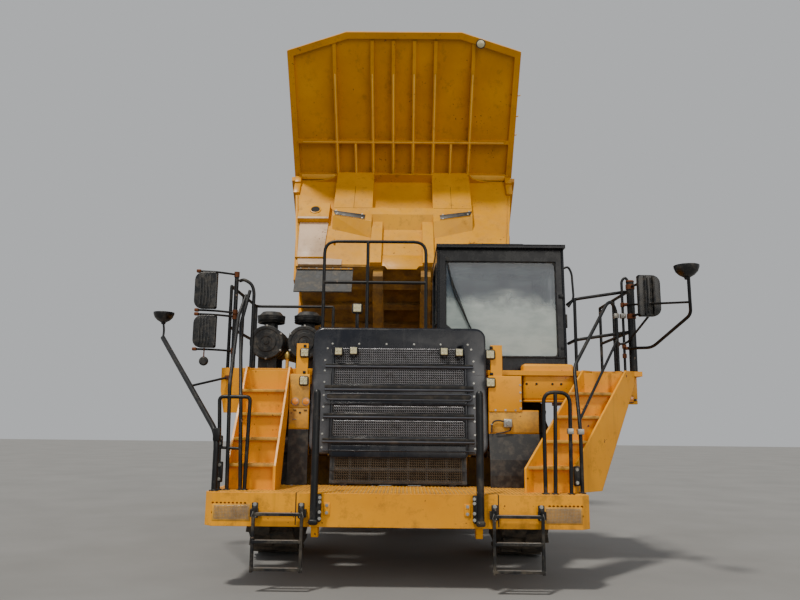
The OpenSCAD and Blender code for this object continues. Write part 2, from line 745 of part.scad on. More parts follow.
// Front struts and arms
arm_z = 760;
king_r = 110;
king_top = 1640;
module front_suspension() color(steel) placed() {
    both_sides() {
        difference() {
            translate([king_x, front_axle_y, 1360]) cylinder(r = strut_r, h = tower_top - 1420);
            translate([king_x, front_axle_y, 1350]) cylinder(r = king_r + seat, h = king_top - 1340);
        }
        side_plate(rail_x - rail_w / 2, rail_x + rail_w / 2, [
            [front_axle_y - 300, arm_z - 45], [front_axle_y + 200, arm_z - 45],
            [front_axle_y + 200, rail_low - seat], [front_axle_y - 300, rail_low - seat]
        ]);
        translate([0, 0, arm_z - 45]) linear_extrude(90) polygon([
            [rail_x, front_axle_y - 300], [rail_x, front_axle_y + 200],
            [king_x + 60, front_axle_y + 60], [king_x + 60, front_axle_y - 60]
        ]);
    }
}

// Steering knuckles, whose kingpins are the strut rods
spindle_end = 1720;
arm_pin_y = 330;
link_z = 880;

module knuckle() {
    translate([king_x, front_axle_y, arm_z + 45 + seat]) cylinder(r = king_r, h = king_top - arm_z - 45);
    box(king_x - 150, king_x + 150, front_axle_y - 160, front_axle_y + 160, 900, 1270);
    shaft(king_x, spindle_end, front_axle_y, tyre_r, 120);
    difference() {
        side_plate(king_x - 60, king_x + 60, [
            [front_axle_y + 150, link_z + 60], [front_axle_y + arm_pin_y + 60, link_z + 60],
            [front_axle_y + arm_pin_y + 60, link_z + 150], [front_axle_y + 150, link_z + 180]
        ]);
        translate([king_x, front_axle_y + arm_pin_y, 900]) cylinder(r = 25, h = 200);
    }
}

module knuckle_left() color(steel) placed() knuckle();
module knuckle_right() color(steel) placed() mirror([1, 0, 0]) knuckle();

// Tie rod between the knuckle arms
module tie_rod() color(steel) placed() {
    pin_x = king_x;
    y = front_axle_y + arm_pin_y;
    rod([-pin_x, y, link_z], [pin_x, y, link_z], 28);
    both_sides() {
        translate([pin_x, y, link_z - 45]) cylinder(r = 48, h = 100);
        translate([pin_x, y, link_z + 50]) cylinder(r = 25 - seat, h = 100);
    }
}

// Tyres and rims
tread_half = tyre_w / 2 - 40;
bead_half = 265;

module tyre_profile() {
    r = tyre_r - lug_depth;
    polygon([
        [rim_d / 2, -bead_half], [rim_d / 2 + 50, -bead_half], [rim_d / 2 + 90, -bead_half - 25],
        [rim_d / 2 + 240, -tyre_w / 2],
        [r - 150, -tyre_w / 2 + 5], [r - 20, -tread_half], [r, -tread_half + 60],
        [r, tread_half - 60], [r - 20, tread_half], [r - 150, tyre_w / 2 - 5],
        [rim_d / 2 + 240, tyre_w / 2], [rim_d / 2 + 90, bead_half + 25], [rim_d / 2 + 50, bead_half],
        [rim_d / 2, bead_half]
    ]);
}

// The lugs' corners lie on the outer circle and one of them points straight down
lug_half = 0.6 * PI * tyre_r / lug_count;
lug_lean = 12;
lug_corner = tread_half / 2 * sin(lug_lean) + lug_half * cos(lug_lean);
lug_top = sqrt(tyre_r * tyre_r - lug_corner * lug_corner);
lug_phase = atan(lug_corner / lug_top) - 90 / lug_count;

module tyre(x) {
    translate([x, 0, 0]) rotate([0, 90, 0]) rotate_extrude($fn = 64) tyre_profile();
    for (i = [0:lug_count - 1], side = [-1, 1])
        rotate([360 * (i + side * 0.25) / lug_count + lug_phase, 0, 0]) translate([x, 0, 0]) lug(side);
}

module lug(side) {
    translate([side * tread_half / 2, 0, lug_top - lug_depth]) rotate([0, 0, side * lug_lean])
        translate([-tread_half / 2, -lug_half, 0]) cube([tread_half, 2 * lug_half, lug_depth]);
}

module rim(x, outward) {
    translate([x, 0, 0]) rotate([0, 90, 0]) rotate_extrude($fn = 48) polygon([
        [rim_d / 2 - 40, -bead_half], [rim_d / 2 + 45, -bead_half - 30], [rim_d / 2 + 45, -bead_half - seat],
        [rim_d / 2 - seat, -bead_half - seat], [rim_d / 2 - seat, bead_half + seat],
        [rim_d / 2 + 45, bead_half + seat], [rim_d / 2 + 45, bead_half + 30], [rim_d / 2 - 40, bead_half]
    ]);
    translate([x + outward * 90, 0, 0]) rotate([0, 90, 0]) difference() {
        cylinder(r = rim_d / 2 - 30, h = 50, center = true);
        cylinder(r = 125, h = 60, center = true);
    }
}

module at_front_wheel(side) {
    placed() translate([side * front_track_half, front_axle_y, tyre_r]) children();
}

module front_rim() {
    difference() {
        union() {
            rim(0, 1);
            shaft(-160, 200, 0, 0, 230);
        }
        shaft(-161, 150, 0, 0, 120 + seat);
    }
}

module tyre_front_left() color(rubber) at_front_wheel(1) tyre(0);
module tyre_front_right() color(rubber) at_front_wheel(-1) tyre(0);
module rim_front_left() color(yellow) at_front_wheel(1) front_rim();
module rim_front_right() color(yellow) at_front_wheel(-1) mirror([1, 0, 0]) front_rim();

module at_rear_axle() {
    placed() translate([0, rear_axle_y, tyre_r]) children();
}

axle_r = 250;
module rear_rims() {
    difference() {
        union() {
            rim(rear_inner_x, 1);
            rim(rear_outer_x, 1);
            shaft(rear_inner_x - 150, rear_outer_x + 240, 0, 0, 330);
            shaft(rear_inner_x + 250, rear_outer_x - 250, 0, 0, rim_d / 2 - 20);
        }
        shaft(rear_inner_x - 251, rear_outer_x + 150, 0, 0, axle_r + seat);
    }
}

module tyres_rear_left() color(rubber) at_rear_axle() {
    tyre(rear_inner_x);
    tyre(rear_outer_x);
}
module tyres_rear_right() color(rubber) at_rear_axle() {
    tyre(-rear_inner_x);
    tyre(-rear_outer_x);
}
module rims_rear_left() color(yellow) at_rear_axle() rear_rims();
module rims_rear_right() color(yellow) at_rear_axle() mirror([1, 0, 0]) rear_rims();

// Rear axle with its nose frame and the drive shaft
module rear_axle() color(steel) placed() {
    half = [[neck_r, 840], [axle_r, 840], [axle_r, rear_outer_x + 140], [0, rear_outer_x + 140]];
    bulge = [[390, 110], [300, 260], [neck_r, 330]];
    translate([0, rear_axle_y, tyre_r]) rotate([0, 90, 0]) rotate_extrude($fn = 48) polygon(concat(
        [for (i = [3:-1:0]) [half[i][0], -half[i][1]]], [for (i = [2:-1:0]) [bulge[i][0], -bulge[i][1]]],
        bulge, half
    ));
    translate([0, 0, nose_ball_z - 95]) linear_extrude(170) polygon([
        [-nose_ball_half, nose_ball_y + 95], [nose_ball_half, nose_ball_y + 95], [nose_ball_half, nose_ball_y + 200],
        [210, rear_axle_y - 60], [-210, rear_axle_y - 60], [-nose_ball_half, nose_ball_y + 200]
    ]);
    shaft(-nose_ball_half, nose_ball_half, nose_ball_y + 90, nose_ball_z, 90);
    rod([0, 3901, 1000], [0, rear_axle_y - 300, 1000], 50);
    shaft(-strut_mount_x - 60, strut_mount_x + 60, rear_axle_y + 270, tyre_r - 60, 60);
}

// Rear struts from the axle to the frame
module rear_suspension() color(steel) placed() {
    both_sides() difference() {
        rod([strut_mount_x, rear_axle_y + 270, tyre_r - 60], [strut_mount_x, strut_mount_y, strut_mount_z], 80);
        shaft(strut_mount_x - 100, strut_mount_x + 100, rear_axle_y + 270, tyre_r - 60, 60 + seat);
        shaft(strut_mount_x - 100, strut_mount_x + 100, strut_mount_y, strut_mount_z, 70 + seat);
    }
}

// Tanks on the frame's sides
module fuel_tank() color(yellow) placed() {
    side_plate(-1500, -tank_in, tank_outline());
    for (y = [tank_y + 300, tank_y + 950]) box(-700, -rail_x - rail_w / 2, y - 40, y + 40, 1000, 1300);
}

module hydraulic_tank() color(yellow) placed() {
    side_plate(tank_in, 1400, tank_outline());
    for (y = [tank_y + 300, tank_y + 950]) box(rail_x + rail_w / 2, 700, y - 40, y + 40, 1000, 1300);
}

tank_y = 3820;
tank_in = rail_x + rail_w / 2 + 25;
function tank_outline() = [
    [tank_y, 800], [tank_y + 100, 700], [tank_y + 1050, 700], [tank_y + 1150, 800], [tank_y + 1150, 1400],
    [tank_y + 1050, 1500], [tank_y + 100, 1500], [tank_y, 1400]
];

// Lamps
module lamp(x, y, z, r) {
    translate([x, y, z]) rotate([90, 0, 0]) cylinder(r = r, h = 70, center = true);
}

module lamps() color(lamp_glass) placed() {
    grille_frame() for (x = [-735, -580, 560, 715]) lamp(x, -35, grille_head - hood_foot - 75, 60);
    for (x = [-1180, 1180], z = [2570, 2400]) lamp(x, panel_y - 35, z, 65);
    lamp(-540, 1240, hood_top + 110, 70);
    box(-600, -480, 1200, 1290, hood_top, hood_top + 60);
    for (x = [-1260, -1160]) lamp(x, panel_y - 35, 2050, 45);
    lamp(1380, panel_y - 35, 1950, 50);
    lamp(2400, deck_front + 240 - 35, 2200, 55);
}

// Bed, drawn with its floor down and then raised about its hinge
beam_x = 440;
beam_w = 180;
beam_low = 80;
floor_ribs = [-1250, -610, 30, 670, 1310, 2450, 2975, 3500];
canopy_len = norm([tip_a - joint_a, tip_b - joint_b]);
canopy_slope = atan2(tip_b - joint_b, tip_a - joint_a);
wall_slope = atan2(joint_a - wall_foot_a, joint_b - floor_b);
wall_len = norm([joint_a - wall_foot_a, joint_b - floor_b]);
top_half = bed_half + on_floor(joint_a, joint_b)[1] * tan(side_lean);
inner_half = bed_half - bed_t / cos(side_lean) - seat;
eye_r = 70;
eye_half = 45;

module bed_floor() color(yellow) raised() {
    side_plate(-inner_half, inner_half, [
        [-wall_foot_a, floor_b], [-tail_a, tail_b], [-tail_a, tail_b + bed_t], [-wall_foot_a, floor_b + bed_t]
    ]);
    both_sides() {
        difference() {
            side_plate(beam_x - beam_w / 2, beam_x + beam_w / 2, [
                [-wall_foot_a + 70, beam_low + 60], [-wall_foot_a + 300, beam_low], [-190, beam_low], [-90, -60],
                [90, -60], [190, 120], [1300, floor_under(-1300) + 10], [-wall_foot_a + 70, floor_b + 20]
            ]);
            shaft(beam_x - beam_w / 2 - 1, beam_x + beam_w / 2 + 1, 0, 0, pivot_r + seat);
        }
        for (side = [-1, 1]) {
            x = hoist_x + side * (rod_r + clear + 15);
            side_plate(x - 15, x + 15, [
                [-hoist_bed_a - 90, hoist_bed_b - 60], [-hoist_bed_a + 90, hoist_bed_b - 60],
                [-hoist_bed_a + 160, floor_under(hoist_bed_a) + 10],
                [-hoist_bed_a - 160, floor_under(hoist_bed_a + 160) + 10]
            ]);
        }
    }
    for (a = floor_ribs)
        box(-inner_half + 20, inner_half - 20, -a - 60, -a + 60, floor_under(a) - 100, floor_under(a) + 25);
}

// Canopy with its lip swept back at the corners, and the ribs below it and down the front wall
canopy_t = 70;
rib_h = 130;
lip_flat = 1120;
flange = 120;
band = 750;
stiff_d = 160;
outlet_d = 120;
beam_out = 490;
shelf_w = 2620;
shelf_d = 200;
function box_outline(foot, front) = [
    [5, foot], [-stiff_d, front], [-stiff_d, wall_len - 350], [-stiff_d, wall_len - 60], [5, wall_len - 60]
];
sweep = 350;
rib_places = [-1360, -620, -205, 205, 620, 1360];
short_ribs = [-980, 980];

function canopy_outline(in) = [
    [-top_half + in, -12 + in / 10], [-lip_half + in, -canopy_len + sweep + in * 0.8],
    [-lip_flat + in / 4, -canopy_len + in], [lip_flat - in / 4, -canopy_len + in],
    [lip_half - in, -canopy_len + sweep + in * 0.8], [top_half - in, -12 + in / 10]
];

module canopy() {
    translate([0, -joint_a, joint_b]) rotate([-canopy_slope, 0, 0]) {
        linear_extrude(canopy_t) polygon(canopy_outline(0));
        for (x = rib_places)
            translate([x - 35, 0, 0]) rotate([90, 0, 90]) linear_extrude(70) polygon([
                [20, 5], [20, -rib_h], [-canopy_len + sweep + 400, -rib_h], [-canopy_len + 150, -30],
                [-canopy_len + 150, 5]
            ]);
        for (x = short_ribs) box(x - 30, x + 30, -band, 5, -rib_h, 5);
        box(-top_half + 120, top_half - 120, -band - 60, -band, -rib_h, 5);
        translate([0, 0, -60]) linear_extrude(65) difference() {
            polygon(canopy_outline(0));
            polygon(canopy_outline(flange));
        }
        box(-top_half + 90, top_half - 90, -90, 20, -rib_h, 5);
    }
}

module wall_frame() {
    translate([0, -wall_foot_a, floor_b]) rotate([wall_slope, 0, 0]) children();
}

module bed_front() color(yellow) raised() {
    wall_frame() rotate([90, 0, 0]) translate([0, 0, -bed_t]) linear_extrude(bed_t) polygon([
        [-inner_half, bed_t + 10], [inner_half, bed_t + 10],
        [top_half - bed_half + inner_half, wall_len], [bed_half - top_half - inner_half, wall_len]
    ]);
    canopy();
    wall_frame() {
        both_sides() {
            hull() {
                side_plate(600, 610, box_outline(805, 1135));
                side_plate(1360, 1370, box_outline(1055, 1315));
            }
            box(beam_out - 105, beam_out + 105, -90, 5, 20, 1200);
            translate([0, 0, shelf_w]) linear_extrude(30) polygon([
                [1369, 5], [1369, -shelf_d], [1450, -100], [1600, -45], [1760, -20], [1920, 5]
            ]);
        }
        box(-601, 601, -shelf_d, 5, shelf_w, shelf_w + 30);
        side_plate(-601, 601, [[5, 1051], [-stiff_d, 1345], [-stiff_d, 1547], [5, 1590]]);
        difference() {
            box(-bed_half - 95, -bed_half + 515, -outlet_d, 5, 1240, 1745);
            translate([-bed_half + 235, -outlet_d + 60, 1520]) rotate([90, 0, 0]) cylinder(r = 95, h = 200);
        }
    }
}

// Side walls with their top rail and upright ribs
module bed_side_frame() {
    translate([bed_half, -wall_foot_a, floor_b]) rotate([floor_slope, 0, 0]) rotate([0, side_lean, 0]) children();
}

module bed_sides() color(yellow) raised() {
    both_sides() bed_side_frame() {
        side_plate(-bed_t, 0, [
            on_floor(wall_foot_a, floor_b), on_floor(joint_a, joint_b), on_floor(joint_a - 400, joint_b + 40),
            on_floor(tail_a, tail_top_b), on_floor(tail_a, tail_b)
        ]);
        side_plate(-5, 75, [
            on_floor(joint_a - 20, joint_b - 150), on_floor(joint_a, joint_b), on_floor(joint_a - 400, joint_b + 40),
            on_floor(tail_a, tail_top_b), on_floor(tail_a, tail_top_b - 150), on_floor(joint_a - 400, joint_b - 120)
        ]);
        for (a = [-1850:900:3600])
            side_plate(-5, 75, [
                on_floor(a + 50, floor_under(a + 50)), on_floor(a - 50, floor_under(a - 50)),
                on_floor(a - 50, tail_top_b - 100), on_floor(a + 50, tail_top_b - 100)
            ]);
    }
}

// Outlet box, rubber flaps and stops on the bed
module bed_fittings() color(dark) raised() {
    both_sides() side_plate(900, bed_half - 20, [
        [-3900, floor_under(3900) - seat], [-3735, -200], [-3715, -200], [-3875, floor_under(3875) - seat]
    ]);
}

// Hoist cylinders
hoist_top_y = hinge_y - hoist_bed_a * cos(raise_angle) + hoist_bed_b * sin(raise_angle);
hoist_top_z = hinge_z + hoist_bed_a * sin(raise_angle) + hoist_bed_b * cos(raise_angle);
hoist_len = norm([hoist_top_y - hoist_y, hoist_top_z - hoist_z]);
hoist_tilt = atan2(hoist_top_y - hoist_y, hoist_top_z - hoist_z);
hoist_closed = norm([hinge_y - hoist_bed_a - hoist_y, hinge_z + hoist_bed_b - hoist_z]);
stage_travel = (hoist_len - hoist_closed) / 2;
sleeve_r = barrel_r - 15;
rod_r = sleeve_r - 15;
barrel_len = hoist_closed - 170;
sleeve_up = 110 + stage_travel;
sleeve_len = hoist_closed - 230;
rod_up = 170 + 2 * stage_travel;

module at_hoist(side) {
    placed() translate([side * hoist_x, hoist_y, hoist_z]) rotate([-hoist_tilt, 0, 0]) children();
}

module hoist_barrel(side) color(dark) at_hoist(side) difference() {
    union() {
        cylinder(r = barrel_r, h = barrel_len);
        shaft(-barrel_r, barrel_r, 0, 0, barrel_r);
    }
    translate([0, 0, 90]) cylinder(r = sleeve_r + seat, h = barrel_len);
    shaft(-barrel_r - 1, barrel_r + 1, 0, 0, 45 + seat);
}

module hoist_sleeve(side) color(chrome) at_hoist(side) difference() {
    translate([0, 0, sleeve_up]) cylinder(r = sleeve_r, h = sleeve_len);
    translate([0, 0, sleeve_up + 40]) cylinder(r = rod_r + seat, h = sleeve_len);
}

module hoist_rod(side) color(chrome) at_hoist(side) difference() {
    union() {
        translate([0, 0, rod_up]) cylinder(r = rod_r, h = hoist_len - rod_up - 30);
        translate([0, 0, hoist_len]) shaft(-eye_half, eye_half, 0, 0, eye_r);
    }
    translate([0, 0, hoist_len]) shaft(-eye_half - 1, eye_half + 1, 0, 0, 36);
}

module hoist_barrel_left() hoist_barrel(1);
module hoist_barrel_right() hoist_barrel(-1);
module hoist_sleeve_left() hoist_sleeve(1);
module hoist_sleeve_right() hoist_sleeve(-1);
module hoist_rod_left() hoist_rod(1);
module hoist_rod_right() hoist_rod(-1);

// Draw what node names
frame();
bumper();
hood();
grille();
engine();
left_deck();
right_deck();
left_stairs();
right_stairs();
ladders();
front_panels();
fender_flaps();
cab_shell();
cab_glass();
cab_interior();
air_cleaners();
handrails();
left_mirrors();
right_mirrors();
front_suspension();
rear_axle();
rear_suspension();
fuel_tank();
hydraulic_tank();
lamps();
guard_tubes();
cab_door();
door_glass();
knuckle_left();
knuckle_right();
tie_rod();
tyre_front_left();
tyre_front_right();
rim_front_left();
rim_front_right();
tyres_rear_left();
tyres_rear_right();
rims_rear_left();
rims_rear_right();
bed_floor();
bed_front();
bed_sides();
bed_fittings();
hoist_barrel_left();
hoist_barrel_right();
hoist_sleeve_left();
hoist_sleeve_right();
hoist_rod_left();
hoist_rod_right();
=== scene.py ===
import math

import bmesh
import bpy
from mathutils import Matrix, Vector


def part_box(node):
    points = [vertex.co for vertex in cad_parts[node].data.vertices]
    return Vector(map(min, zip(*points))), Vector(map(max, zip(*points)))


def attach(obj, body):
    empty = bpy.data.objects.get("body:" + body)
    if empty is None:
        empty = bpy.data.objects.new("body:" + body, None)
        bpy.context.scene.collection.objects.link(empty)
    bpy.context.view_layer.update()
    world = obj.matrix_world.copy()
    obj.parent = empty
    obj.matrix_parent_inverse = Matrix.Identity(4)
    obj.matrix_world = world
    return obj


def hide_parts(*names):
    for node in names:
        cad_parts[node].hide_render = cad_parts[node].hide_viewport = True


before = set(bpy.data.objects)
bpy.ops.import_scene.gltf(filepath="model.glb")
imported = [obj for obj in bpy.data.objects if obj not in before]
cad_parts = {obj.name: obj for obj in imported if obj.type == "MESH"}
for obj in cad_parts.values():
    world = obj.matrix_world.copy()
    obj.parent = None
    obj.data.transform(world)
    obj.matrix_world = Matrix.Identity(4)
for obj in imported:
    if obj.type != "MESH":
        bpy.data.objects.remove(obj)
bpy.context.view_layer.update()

# Places are in metres from the middle of the bumper's front face, as in the source of the part
bumper_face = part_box("bumper")[0][1]
walk_top = 0.98
deck_top = 2.37
hood_top = 2.89
front_axle_y = 2.4
rear_axle_y = 6.5
wheel_middle = 1.085
ahead = (0, -1, 0)
upward = (0, 0, 1)

# The bed as it lies when lowered: how far ahead of its hinge and how high above it
hinge_y = 7.52
hinge_z = 1.38
raised_by = math.radians(48.5)
wall_foot = (3.93, 0.378)
canopy_joint = (4.6, 3.1)
canopy_tip = (7.5, 3.3)
wall_slope = math.atan2(canopy_joint[0] - wall_foot[0], canopy_joint[1] - wall_foot[1])
canopy_slope = math.atan2(canopy_tip[1] - canopy_joint[1], canopy_tip[0] - canopy_joint[0])


def at(x, y, z):
    return Vector((x, y + bumper_face, z))


# Finishes


def linear(colour):
    """A colour given as seen on screen, 0 to 255, turned to the linear values that a shader takes."""
    shares = [value / 255 for value in colour]
    return [v / 12.92 if v <= 0.04045 else ((v + 0.055) / 1.055) ** 2.4 for v in shares] + [1.0]


class Tree:
    """A tree of nodes, whose inputs are given as values or as what other nodes put out."""

    def put(self, socket, value):
        if isinstance(value, bpy.types.NodeSocket):
            self.tree.links.new(value, socket)
        else:
            socket.default_value = value

    def add(self, kind, inputs=None, **settings):
        node = self.tree.nodes.new(kind)
        for key, value in settings.items():
            setattr(node, key, value)
        for key, value in (inputs or {}).items():
            self.put(node.inputs[key], value)
        return node

    def first(self, kind, inputs=None, **settings):
        """Adds a node and gives its first output."""
        return self.add(kind, inputs, **settings).outputs[0]

    def math(self, kind, *values):
        return self.first("ShaderNodeMath", dict(enumerate(values)), operation=kind)


class Finish(Tree):
    """One material, built node by node around a Principled shader."""

    def __init__(self, name):
        self.material = bpy.data.materials.new(name)
        self.material.use_nodes = True
        self.tree = self.material.node_tree
        self.tree.nodes.clear()
        self.shader = self.add("ShaderNodeBsdfPrincipled")
        self.add("ShaderNodeOutputMaterial", {"Surface": self.shader.outputs["BSDF"]})
        self.place = self.add("ShaderNodeTexCoord").outputs["Object"]

    def set(self, **values):
        for key, value in values.items():
            self.put(self.shader.inputs[key.replace("_", " ")], value)

    def stretched(self, scale):
        return self.first("ShaderNodeMapping", {"Vector": self.place, "Scale": scale})

    def noise(self, scale, detail=4.0, roughness=0.55, place=None):
        inputs = {"Vector": place or self.place, "Scale": scale, "Detail": detail, "Roughness": roughness}
        return self.add("ShaderNodeTexNoise", inputs).outputs["Fac"]

    def spread(self, value, low, high, to_low=0.0, to_high=1.0):
        inputs = {"Value": value, "From Min": low, "From Max": high, "To Min": to_low, "To Max": to_high}
        return self.add("ShaderNodeMapRange", inputs, clamp=True).outputs["Result"]

    def mix(self, amount, a, b):
        """Mixes two colours, each given as seen on screen or put out by another node."""
        a, b = (linear(c) if isinstance(c, tuple) else c for c in (a, b))
        inputs = {0: amount, 6: a, 7: b}
        return self.add("ShaderNodeMix", inputs, data_type="RGBA", clamp_factor=True).outputs[2]

    def along(self, axis, place=None):
        return self.add("ShaderNodeSeparateXYZ", {0: place or self.place}).outputs[axis]

    def normal(self):
        return self.add("ShaderNodeTexCoord").outputs["Normal"]

    def facing(self, direction, low=0.4, high=0.6):
        """One where the surface faces a direction, none where it does not."""
        inputs = {0: self.normal(), 1: direction}
        dot = self.add("ShaderNodeVectorMath", inputs, operation="DOT_PRODUCT").outputs["Value"]
        return self.spread(dot, low, high)

    def relief(self, height, distance, strength=1.0, below=None):
        inputs = {"Height": height, "Distance": distance, "Strength": strength}
        if below is not None:
            inputs["Normal"] = below
        return self.first("ShaderNodeBump", inputs)

    def soft_edges(self, radius):
        return self.first("ShaderNodeBevel", {"Radius": radius}, samples=4)


rust = (96, 52, 28)


def painted(name, bright, dull, dirt, dirt_low=0.56, dirt_high=0.75, gloss=0.34, chips=rust, overlay=None):
    """Machine paint: faded in patches, rain streaks, dust low down, chips and a fine orange peel."""
    look = Finish(name)
    patches = look.spread(look.noise(0.9, 5.0, 0.6), 0.35, 0.68)
    colour = look.mix(patches, bright, dull)
    streaks = look.noise(2.4, 6.0, 0.6, look.stretched((3.0, 3.0, 0.22)))
    colour = look.mix(look.spread(streaks, 0.57, 0.8, 0.0, 0.42), colour, dirt)
    grime = look.math("ADD", look.noise(4.5, 9.0, 0.72), look.spread(look.along("Z"), 0.2, 1.6, 0.1, 0.0))
    colour = look.mix(look.spread(grime, dirt_low, dirt_high, 0.0, 0.7), colour, dirt)
    if chips is not None:
        groups = look.math("MULTIPLY", look.noise(1.7, 3.0, 0.5), 0.35)
        spots = look.math("ADD", look.noise(23.0, 3.0, 0.5), groups)
        colour = look.mix(look.spread(spots, 0.9, 0.92), colour, chips)
    # The overlay adds wear on the load side, or a painted reflection on the nose
    if overlay is not None:
        colour = overlay(look, colour)
    peel = look.relief(look.noise(260.0, 2.0), 0.0004, 0.35, look.soft_edges(0.008))
    dents = look.relief(look.noise(2.2, 3.0), 0.012, 0.3, peel)
    look.set(Base_Color=colour, Roughness=look.spread(grime, 0.45, 0.75, gloss, gloss + 0.32), Normal=dents,
             Coat_Weight=0.06, Coat_Roughness=0.25, Specular_IOR_Level=0.32)
    return look.material


def rubber(name, colour, dust):
    """Grained rubber with dust that gathers low down."""
    look = Finish(name)
    cover = look.math("ADD", look.noise(7.0, 8.0, 0.7), look.spread(look.along("Z"), 0.0, 0.9, 0.16, 0.0))
    mixed = look.mix(look.spread(cover, 0.48, 0.74, 0.0, 0.85), colour, dust)
    grain = look.relief(look.noise(90.0, 4.0), 0.003, 0.6, look.soft_edges(0.01))
    look.set(Base_Color=mixed, Roughness=look.spread(cover, 0.4, 0.7, 0.62, 0.92), Normal=grain)
    return look.material


def metal(name, colour, stain, gloss):
    """Bare or plated metal with stains and fine scratches along it."""
    look = Finish(name)
    cover = look.noise(9.0, 6.0, 0.65)
    mixed = look.mix(look.spread(cover, 0.5, 0.72, 0.0, 0.7), colour, stain)
    scratch = look.relief(look.noise(120.0, 3.0, 0.6, look.stretched((1.0, 1.0, 0.06))), 0.0006, 0.4)
    look.set(Base_Color=mixed, Metallic=0.85, Roughness=look.spread(cover, 0.4, 0.7, gloss, gloss + 0.3),
             Normal=scratch)
    return look.material


def plastic(name, colour, gloss=0.45):
    """Dark plastic with a fine grain and some dust."""
    look = Finish(name)
    cover = look.noise(14.0, 5.0, 0.6)
    mixed = look.mix(look.spread(cover, 0.45, 0.8, 0.0, 0.35), colour, (118, 110, 98))
    grain = look.relief(look.noise(420.0, 2.0), 0.0004, 0.5, look.soft_edges(0.004))
    look.set(Base_Color=mixed, Roughness=look.spread(cover, 0.4, 0.7, gloss, gloss + 0.2), Normal=grain)
    return look.material


def painted_nose_reflection(look, colour):
    """A painted reflection: pale sky painted on the sides of the nose and low on its front."""
    aside = look.spread(look.math("ABSOLUTE", look.along("X")), 0.78, 0.9)
    below = look.spread(look.along("Z"), 2.9, 2.2)
    cloud = look.spread(look.noise(3.0, 6.0, 0.6), 0.3, 0.7, 0.35, 1.0)
    amount = look.math("MULTIPLY", look.math("MULTIPLY", aside, below), cloud)
    return look.mix(look.math("MULTIPLY", amount, 0.55), colour, (112, 114, 118))


def load_wear(look, colour, where):
    """Bare scoured steel and dried earth on the side that meets the load."""
    scours = look.noise(7.0, 6.0, 0.65, look.stretched((1.0, 0.25, 0.25)))
    bare = look.mix(look.spread(scours, 0.35, 0.68), (128, 118, 104), (92, 78, 62))
    return look.mix(where, colour, bare)


def floor_wear(look, colour):
    return load_wear(look, colour, look.facing((0, math.sin(raised_by), math.cos(raised_by))))


def side_wear(look, colour):
    across = look.along("X", look.normal())
    inward = look.math("MULTIPLY", across, look.math("SIGN", look.along("X")))
    return load_wear(look, colour, look.spread(inward, -0.5, -0.7))


def wall_wear(look, colour):
    lean = raised_by - wall_slope
    return load_wear(look, colour, look.facing((0, math.cos(lean), -math.sin(lean)), 0.7, 0.85))


def glassy(look, tint, roughness, alpha):
    """Sets what all glass has in common."""
    look.set(Base_Color=tint, Roughness=roughness, Alpha=alpha, IOR=1.5, Specular_IOR_Level=0.8)
    look.material.surface_render_method = "BLENDED"
    return look.material


def painted_reflection_glass(name, low, high, height):
    """Glass with a painted reflection: pale sky painted low down and dark sky above; each is a colour and how
    solid it is.
    """
    look = Finish(name)
    wave = look.spread(look.noise(2.2, 4.0, 0.6), 0.3, 0.7, -0.16, 0.16)
    above = look.spread(look.math("ADD", look.along("Z"), wave), height - 0.1, height + 0.16)
    streaks = look.spread(look.noise(3.2, 5.0, 0.6, look.stretched((1.0, 1.0, 2.4))), 0.4, 0.66)
    tint = look.mix(above, low[0], high[0])
    tint = look.mix(look.math("MULTIPLY", streaks, 0.4), tint, (104, 122, 128))
    return glassy(look, tint, 0.05, look.spread(above, 0.0, 1.0, low[1], high[1]))


def clear_glass(name, tint, alpha):
    look = Finish(name)
    overlay = look.noise(1.6, 5.0, 0.6, look.stretched((1.0, 1.0, 0.5)))
    return glassy(look, linear(tint), look.spread(overlay, 0.4, 0.75, 0.02, 0.1), alpha)


def lens(name, colour):
    """A glossy fluted lens."""
    look = Finish(name)
    flute = look.relief(look.noise(70.0, 2.0), 0.002, 0.5)
    mixed = look.mix(look.spread(look.noise(20.0), 0.4, 0.8, 0.0, 0.3), colour, (150, 140, 120))
    look.set(Base_Color=mixed, Roughness=0.14, Normal=flute, Coat_Weight=0.6, Coat_Roughness=0.05)
    return look.material


